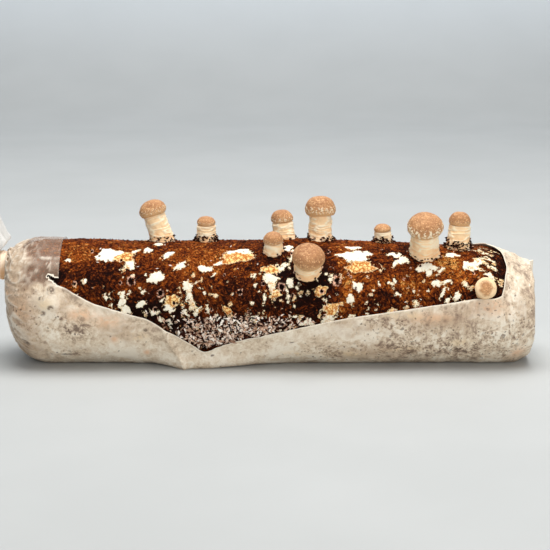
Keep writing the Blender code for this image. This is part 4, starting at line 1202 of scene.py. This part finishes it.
def build_stem(number, mushroom):
    """A stem as rings from its foot to its top: flared foot, shaggy rings, rounded shoulder.

    Each ring's reach is the stem's radius times its width there, plus shag, lumps and skirt. The
    lower rings slide down the stem's axis to follow the log's round.
    """
    foot, axis, across, back = grow_frame(mushroom)
    radius, length = 0.001 * mushroom.stem_radius, 0.001 * mushroom.stem_length
    foot_width = NARROW_FOOT_WIDTH if mushroom.angle > 60 else FOOT_WIDTH
    share = np.linspace(0.0, 1.0, STEM_ROWS)[:, None]
    turns = full_circle(STEM_COLUMNS)[None, :]
    width = np.interp(share, STEM_HEIGHTS, (foot_width, *STEM_WIDTHS))
    flat = turned_round(np.stack([np.full(share.shape, radius), share * length], axis=-1), turns)
    seed = 7 * number
    waver = 0.0009 * lattice_noise(flat, 0.006, seed + 1)
    rings = 1.0 - np.abs(lattice_noise(flat + waver[..., None], (0.009, 0.009, 0.0017), seed + 2))
    shag = 0.0005 * rings**3 + 0.00025 * lattice_noise(flat, 0.0016, seed + 3)
    lumps = 0.0005 * lattice_noise(flat, 0.005, seed + 4)
    skirt = 0.0006 + 0.0010 * np.maximum(0, lattice_noise(flat, 0.004, seed + 5))
    reach = width * radius + (shag + lumps) * smooth_step(share, 1.0, 0.9) + skirt * np.exp(-share / 0.05)
    circle = np.cos(turns)[..., None] * across + np.sin(turns)[..., None] * back
    points = foot + (length - TOUCH_GAP) * share[..., None] * axis + reach[..., None] * circle
    first_ring = foot + reach[:1, :, None] * circle
    drop = drop_to_log(first_ring, axis, -FOOT_DEPTH) - first_ring
    points = points + np.clip(1 - 1.4 * share, 0, 1)[..., None] * drop
    ends = [drop_to_log(foot, axis, -FOOT_DEPTH), foot + (length - TOUCH_GAP) * axis]
    return closed_mesh(f"pale_stem_{number}", points, ends, {"share": share, "ring": rings})


def tuft_places(count, seed):
    """Share of the way from the cap's top to its rim, and turn, for each tuft of scales."""
    chance = np.random.default_rng(seed)
    share = np.sqrt(np.linspace(0.06, 1.0, count)) + chance.uniform(-0.03, 0.03, count)
    turns = np.arange(count) * GOLDEN_TURN + chance.uniform(-0.25, 0.25, count)
    return share, turns


def build_cap(number, mushroom):
    """A cap turned about its axis, a little out of round, with tufts raised out of its skin.

    The outline is pushed out at right angles to itself by slow noise, by fine noise, and by a
    soft bell round the nearest tuft's middle. The way is 0 at the top and 1 at the rim.
    """
    foot, axis, across, back = grow_frame(mushroom)
    radius, height = 0.001 * mushroom.cap_radius, 0.001 * mushroom.cap_height
    stem_radius, length = 0.001 * mushroom.stem_radius, 0.001 * mushroom.stem_length
    rim = ROLLED_RIM if 0.93 * radius > stem_radius + 0.001 else PLAIN_RIM
    stops = np.array([[(r * radius, 0.0, h * height)] for r, h in DOME + rim + VEIL])
    outline = rows_through(stops, CAP_ROW_GAP)[0]
    steps = np.linalg.norm(np.diff(outline[:, 0], axis=0), axis=1)
    travel = np.concatenate([[0], np.cumsum(steps)])
    way = (travel / travel[np.argmax(outline[:, 0, 0])])[:, None]
    turns = full_circle(CAP_COLUMNS)[None, :]
    local = turned_round(outline, turns)

    share, tuft_turns = tuft_places(int(160 + 14000 * radius), number)
    middles = [np.interp(share * 1.12, way[:, 0], outline[:, 0, part]) for part in (0, 2)]
    spots = turned_round(np.stack(middles, axis=-1), tuft_turns)
    away = np.linalg.norm(local[:, :, None] - spots, axis=-1).min(axis=2) / (0.00038 + 0.017 * radius)
    seed = 11 * number
    wobble = 1.0 + 0.5 * lattice_noise(local, 0.0012, seed + 3)
    near_rim = smooth_step(way, 0.64, 0.94) * smooth_step(way, 1.25, 1.08)
    tuft = mushroom.tufts * np.exp(-((away * wobble) ** 2)) * (0.12 + 0.88 * near_rim) * (way < 1.25)

    relief = 0.035 * radius * lattice_noise(local, 0.8 * radius, seed)
    relief += TUFT_HEIGHT * tuft * smooth_step(way, 0.02, 0.15)
    relief += 0.00012 * lattice_noise(local, 0.0016, seed + 5)
    slope = np.gradient(outline[..., (0, 2)], axis=0)
    slope /= np.linalg.norm(slope, axis=-1, keepdims=True)
    reach = outline[..., 0] - relief * slope[..., 1]
    rise = outline[..., 2] + relief * slope[..., 0]
    circle = np.cos(turns)[..., None] * across + np.sin(turns)[..., None] * back
    points = foot + length * axis + reach[..., None] * circle + rise[..., None] * axis
    ends = [points[0].mean(axis=0), points[-1].mean(axis=0)]
    return closed_mesh(f"scaly_cap_{number}", points, ends, {
        "tuft": tuft, "way": way, "dark": mushroom.darkness,
        "veiled": mushroom.cap_height < 0.6 * mushroom.cap_radius,
    }, step=1)


STEM_CREAM = (0.980, 0.710, 0.420, 1)
STEM_WHITE = (0.980, 0.850, 0.620, 1)
STEM_PEACH = (0.920, 0.540, 0.260, 1)
CAP_TAN = (0.600, 0.300, 0.125, 1)
CAP_BROWN = (0.340, 0.145, 0.060, 1)
CAP_PALE = (0.830, 0.510, 0.250, 1)


def make_stem_material():
    """Cream flesh with peach between the shaggy rings, browner and specked near the foot."""
    look = Look("stem_flesh", Roughness=0.75, Specular_IOR_Level=0.25)
    place, height = look.place, look.stored("share")
    cloud = place.noise(170, 5)
    ring = (look.stored("ring") + 0.5 * cloud - 0.25).between(0.55, 0.95)
    colour = ring.mix(STEM_CREAM, STEM_WHITE)
    stain = (cloud + 0.30 * height.between(0.75, 0.05) - 0.12 * ring).between(0.52, 0.80, 0.0, 0.75)
    colour = stain.mix(colour, STEM_PEACH)
    share = 0.45 * height.between(0.30, 0.0)
    dots = use_group(specks, place, Scale=420, Size=0.34, Share=share)["Mask"]
    colour = (0.85 * dots).mix(colour, RED_BROWN)
    return look.finish(colour, place.noise(1200, 4), 0.0003)


def make_cap_material():
    """Tan skin, browner on top, paler at the rim, with pale tufts and a fine golden net."""
    look = Look("cap_skin", Roughness=0.62, Specular_IOR_Level=0.3)
    place, stored, way = look.place, look.stored, look.stored("way")
    cloud = place.noise(150, 5)
    top = way.between(1.05, 0.3, 0.35, 1.0) * stored("dark")
    colour = (0.9 * top + 2.0 * cloud - 0.97).between(0.0, 1.0).mix(CAP_TAN, CAP_BROWN)
    net = use_group(chips, place, Scale=760, Warp=0.0014, Gap=0.24)
    golden = net["Shade"].between(0.35, 0.9) * way.between(0.2, 0.9, 0.45, 0.85)
    colour = golden.mix(colour, CAP_PALE)
    gap = net["Gap"] * way.between(0.1, 0.8, 0.55, 0.75)
    colour = gap.mix(colour, CAP_BROWN)
    colour = way.between(0.88, 1.12, 0.0, 0.75).mix(colour, CAP_PALE)
    veil = (way + 1.4 * cloud - 0.7).between(0.25, 0.80) * stored("veiled")
    colour = veil.mix(colour, STEM_CREAM)
    colour = stored("tuft").between(0.16, 0.50, 0.0, 0.9).mix(colour, STEM_WHITE)
    return look.finish(colour, place.noise(1500, 4) - gap, 0.0003)


stem_material = make_stem_material()
cap_material = make_cap_material()
for order, mushroom in enumerate(MUSHROOMS, start=1):
    new_piece(build_stem(order, mushroom), stem_material, "stem_flesh", f"stem_{order}")
    new_piece(build_cap(order, mushroom), cap_material, "cap_skin", f"cap_{order}")

# Loose sawdust: splinters and crumbs that stick to the skin. Dark ones are heaped round the
# stems that pushed them up, and pale, thread-covered ones lie thick above the hanging flap.

SPLINTER_SIDES = 5
# Splinters spread over the open skin, and heaped above the flap: how many, the places along the
# log between which they lie or round which they gather (m), and the angles (degrees)
SPREAD_COUNT, HEAP_COUNT = 2600, 2500
OPEN_FROM, OPEN_TO = -0.160, 0.176
HEAP_PLACE, HEAP_SPREAD = -0.024, 0.034
SPREAD_FROM, HEAP_ANGLE, HEAP_ANGLES = -62, 92, 40
HEAPED_GROWTH = (0.7, 0.6, 0.0)
# Heaps of crumbs at the stems' feet: number of the mushroom, and how much lies there
CRUMB_HEAPS = ((1, 1.2), (2, 1.5), (3, 0.6), (5, 1.1), (7, 1.3), (9, 2.2), (8, 0.5), (4, 0.4), (6, 0.3))
CRUMBS_IN_HEAP = 90
# Lengths, widths and thicknesses of the splinters and crumbs, each from its least to its most
SPLINTER_SIZES = ((0.0014, 0.0032), (0.0006, 0.0012), (0.0004, 0.0008))
CRUMB_SIZES = ((0.0016, 0.0040), (0.0010, 0.0022), (0.0009, 0.0019))


def scatter_splinters(name, along, angle, lift, sizes, values, seed):
    """Spindles with two tips and a ring between, each turned its own way on the skin.

    Each lies along a direction turned in the skin's plane and tilted a little out of it. Its
    ring's corners are at chance distances from that line and shifted by chance along it.
    """
    chance = np.random.default_rng(seed)
    count = len(along)
    centres = round_log(along, angle, LOG_RADIUS, 0.0, lift)
    out = np.stack([np.zeros(count), -np.sin(angle), np.cos(angle)], axis=-1)
    side = np.stack([np.ones(count), np.zeros(count), np.zeros(count)], axis=-1)
    turn = chance.uniform(0, math.pi, count)[:, None]
    tilt = chance.uniform(-0.5, 0.5, count)[:, None]
    length = np.cos(turn) * side + np.sin(turn) * np.cross(out, side)
    length = np.cos(tilt) * length + np.sin(tilt) * out
    width = np.cross(out, length)
    width /= np.linalg.norm(width, axis=1, keepdims=True)
    thick = np.cross(length, width)
    turns = np.arange(SPLINTER_SIDES) / SPLINTER_SIDES * 2 * math.pi
    ring = 1.0 + chance.uniform(-0.35, 0.35, (count, SPLINTER_SIDES))
    shift = chance.uniform(-0.4, 0.4, (count, SPLINTER_SIDES))
    half = sizes[:, :, None, None] * 0.5
    middle = half[:, 0] * (shift[..., None] * length[:, None])
    middle = middle + half[:, 1] * (ring * np.cos(turns))[..., None] * width[:, None]
    middle = middle + half[:, 2] * (ring * np.sin(turns))[..., None] * thick[:, None]
    tips = half[:, 0] * np.array([-1.0, 1.0])[None, :, None] * length[:, None]
    corners = np.concatenate([tips, middle], axis=1) + centres[:, None]
    near = np.arange(SPLINTER_SIDES)
    far = (near + 1) % SPLINTER_SIDES
    first = np.stack([np.zeros_like(near), 2 + far, 2 + near], axis=-1)
    second = np.stack([np.ones_like(near), 2 + near, 2 + far], axis=-1)
    faces = np.concatenate([first, second])[None] + (np.arange(count) * (2 + SPLINTER_SIDES))[:, None, None]
    shades = {key: np.repeat(value, 2 + SPLINTER_SIDES) for key, value in values.items()}
    mesh = new_mesh(name, corners.reshape(-1, 3), [faces.reshape(-1, 3)], shades)
    mesh.shade_flat()
    return mesh


def chance_sizes(chance, spans, count):
    """Lengths, widths and thicknesses by chance, one row for each splinter."""
    return np.stack([chance.uniform(low, high, count) for low, high in spans], axis=1)


def build_skin_splinters():
    """Splinters all over the open skin, and thick pale ones over the zone above the flap."""
    chance = np.random.default_rng(77)
    spread = chance.uniform(OPEN_FROM, OPEN_TO, SPREAD_COUNT)
    along = np.append(spread, chance.normal(HEAP_PLACE, HEAP_SPREAD, HEAP_COUNT))
    spread = chance.uniform(SPREAD_FROM, HEAP_ANGLE, SPREAD_COUNT)
    angle = np.append(spread, HEAP_ANGLE + HEAP_ANGLES * chance.uniform(0, 1, HEAP_COUNT) ** 0.8)
    front, back = (np.degrees(edge_angle(edge, along)) for edge in (FRONT_EDGE, BACK_EDGE))
    inside = (along > OPEN_FROM) & (along < OPEN_TO) & (angle < front - 0.5) & (angle > 1 - back)
    free = patch_field(on_log(along, np.radians(angle)), PATCHES)[0] < 0.0
    keep = inside & (free | (angle > HEAP_ANGLE))
    along, angle = along[keep], angle[keep]
    count = len(along)
    heaped = smooth_step(angle, 84, 98) * smooth_step(np.abs(along - HEAP_PLACE), 0.11, 0.06)
    sizes = chance_sizes(chance, SPLINTER_SIZES, count)
    sizes *= 1 + np.outer(heaped, HEAPED_GROWTH)
    sizes *= np.where(chance.uniform(0, 1, count) < 0.10 * heaped, 1.9, 1.0)[:, None]
    pale = chance.uniform(0, 1, count) < 0.03 + 0.63 * heaped
    shade = chance.uniform(0, 1, count) * np.where(pale, 1.0, 0.9 - 0.4 * heaped)
    lift = chance.uniform(0.0, 0.0005, count) + 0.0010 * heaped * chance.uniform(0, 1, count)
    values = {"shade": shade, "pale": pale}
    return scatter_splinters("skin_splinters", along, np.radians(angle), lift, sizes, values, 78)


def build_stem_crumbs():
    """Dark crumbs heaped in a ring round the foot of each stem that pushed through."""
    chance = np.random.default_rng(91)
    heaps = []
    for number, amount in CRUMB_HEAPS:
        mushroom = MUSHROOMS[number - 1]
        radius, count = mushroom.stem_radius, int(CRUMBS_IN_HEAP * amount)
        turns = chance.uniform(0, 2 * math.pi, count)
        reach = radius * (1.0 + 0.32 * chance.uniform(0, 1, count) ** 1.4)
        along = (mushroom.along + reach * np.cos(turns)) / 1000
        angle = math.radians(mushroom.angle) + reach * np.sin(turns) / LOG_RADIUS_MM
        lift = chance.uniform(0.0002, 0.0012 + 0.0030 * amount, count)
        heaps.append((along, angle, lift * smooth_step(reach / radius, 1.36, 1.0)))
    along, angle, lift = np.concatenate(heaps, axis=1)
    count = len(along)
    sizes = chance_sizes(chance, CRUMB_SIZES, count)
    values = {"shade": chance.uniform(0, 0.55, count), "pale": chance.uniform(0, 1, count) < 0.10}
    return scatter_splinters("stem_crumbs", along, angle, lift, sizes, values, 92)


SPLINTER_DARK = (0.20, 0.075, 0.040, 1)
SPLINTER_PINK = (0.74, 0.48, 0.33, 1)
SPLINTER_WHITE = (1.0, 0.94, 0.84, 1)


def make_splinter_material():
    """Wood splinters from near black to straw, some covered with pinkish white threads."""
    look = Look("loose_sawdust", Roughness=0.85, Specular_IOR_Level=0.12)
    shade = look.stored("shade")
    cloud = look.place.noise(900, 4)
    tone = 0.8 * shade + 0.5 * cloud - 0.26
    wood = tone.ramp((0.10, NEAR_BLACK), (0.98, STRAW), (0.40, MAROON), (0.66, RUST))
    white = shade.ramp((0.0, SPLINTER_DARK), (0.9, SPLINTER_WHITE), (0.40, SPLINTER_PINK))
    covered = look.stored("pale") * cloud.between(0.38, 0.50, 0.45, 1.0)
    return look.finish(covered.mix(wood, white), cloud, 0.0003)


splinter_material = make_splinter_material()
new_piece(build_skin_splinters(), splinter_material, "substrate")
new_piece(build_stem_crumbs(), splinter_material, "substrate")

# The setting: a sheet of pale matt paper, laid as a floor that curves up into a wall. Three wide
# soft lights and a bright room light it, and one camera looks a little down at the log.

FLOOR_FRONT, FLOOR_DEPTH, FLOOR_HALF_WIDTH = -3.0, 1.6, 5.0
CURVE_RADIUS, CURVE_STEPS = 0.9, 40
WALL_TOP = 4.0
FLOOR_GREY = (0.425, 0.435, 0.430, 1)
FLOOR_LIGHT = (0.445, 0.455, 0.450, 1)
WALL_BLUE = (0.770, 0.835, 0.890, 1)


def build_sweep():
    """A floor carried back, up a quarter round, and on up as a wall."""
    turns = np.linspace(0, math.pi / 2, CURVE_STEPS)
    back = [FLOOR_FRONT, *(FLOOR_DEPTH + CURVE_RADIUS * np.sin(turns)), FLOOR_DEPTH + CURVE_RADIUS]
    up = [0.0, *(CURVE_RADIUS * (1 - np.cos(turns))), WALL_TOP]
    edges = (-FLOOR_HALF_WIDTH, FLOOR_HALF_WIDTH)
    sides = [np.column_stack([np.full(len(up), x), back, up]) for x in edges]
    near = np.arange(len(up) - 1)
    quads = np.stack([near, near + len(up), near + len(up) + 1, near + 1], axis=-1)
    return new_mesh("pale_sweep", np.concatenate(sides), [quads])


def make_sweep_material():
    """Matt pale paper, a little bluer on the wall than on the floor."""
    look = Look("pale_paper", Roughness=0.9)
    cloud = use_group(mottle, look.place, Scale=6, Detail=3, Low=0.3, High=0.7)["Mask"]
    height = look.place.node("ShaderNodeSeparateXYZ", {0: look.place}, 2)
    floor = cloud.mix(FLOOR_GREY, FLOOR_LIGHT)
    return look.finish(height.between(0.0, 0.5).mix(floor, WALL_BLUE))


sweep_mesh = build_sweep()
sweep_mesh.materials.append(make_sweep_material())
new_object(sweep_mesh)

# Square soft lights: name, place, the point that it faces, width, power, and colour
LIGHTS = (
    ("overhead_softbox", (0.10, -0.12, 1.4), (0, 0, 0.03), 1.0, 22, (1.0, 0.985, 0.96)),
    ("front_softbox", (0.7, -1.9, 0.60), (0, 0, 0.06), 1.3, 19, (1.0, 0.965, 0.92)),
    ("wall_softbox", (0.0, 0.9, 2.3), (0, 2.4, 0.5), 2.0, 36, (0.97, 0.985, 1.0)),
)
ROOM_COLOUR, ROOM_STRENGTH = (0.93, 0.96, 1.0, 1), 0.34


def aim(thing, place, target):
    """Puts a light or camera at a place so that it looks at a target."""
    towards = np.subtract(target, place)
    thing.location = place
    heading = math.atan2(-towards[0], towards[1])
    pitch = math.atan2(towards[2], math.hypot(towards[0], towards[1]))
    thing.rotation_euler = (math.pi / 2 + pitch, 0.0, heading)


for name, place, target, size, power, colour in LIGHTS:
    lamp = bpy.data.lights.new(name, "AREA")
    lamp.size = size
    lamp.energy = power
    lamp.color = colour
    aim(new_object(lamp), place, target)

world = bpy.data.worlds.new("soft_room")
world.use_nodes = True
fill(world.node_tree.nodes["Background"], {"Color": ROOM_COLOUR, "Strength": ROOM_STRENGTH})
bpy.context.scene.world = world
bpy.context.scene.view_settings.view_transform = "Standard"

# The camera's view angle is set for a square picture, in which a pixel at its target's distance is 0.8 mm
# wide
PICTURE_PIXELS, PIXEL_WIDTH = 550, 0.0008
CAMERA_TARGET = np.array([0.004, 0.0, 0.0675])
CAMERA_DISTANCE = 1.25
CAMERA_ELEVATION = math.radians(12)
CAMERA_NEAREST = 0.05

camera_data = bpy.data.cameras.new("photo_camera")
camera_data.angle = 2 * math.atan(PICTURE_PIXELS / 2 * PIXEL_WIDTH / CAMERA_DISTANCE)
camera_data.clip_start = CAMERA_NEAREST
camera = new_object(camera_data)
away = np.array([0.0, -math.cos(CAMERA_ELEVATION), math.sin(CAMERA_ELEVATION)])
aim(camera, CAMERA_TARGET + CAMERA_DISTANCE * away, CAMERA_TARGET)
bpy.context.scene.camera = camera
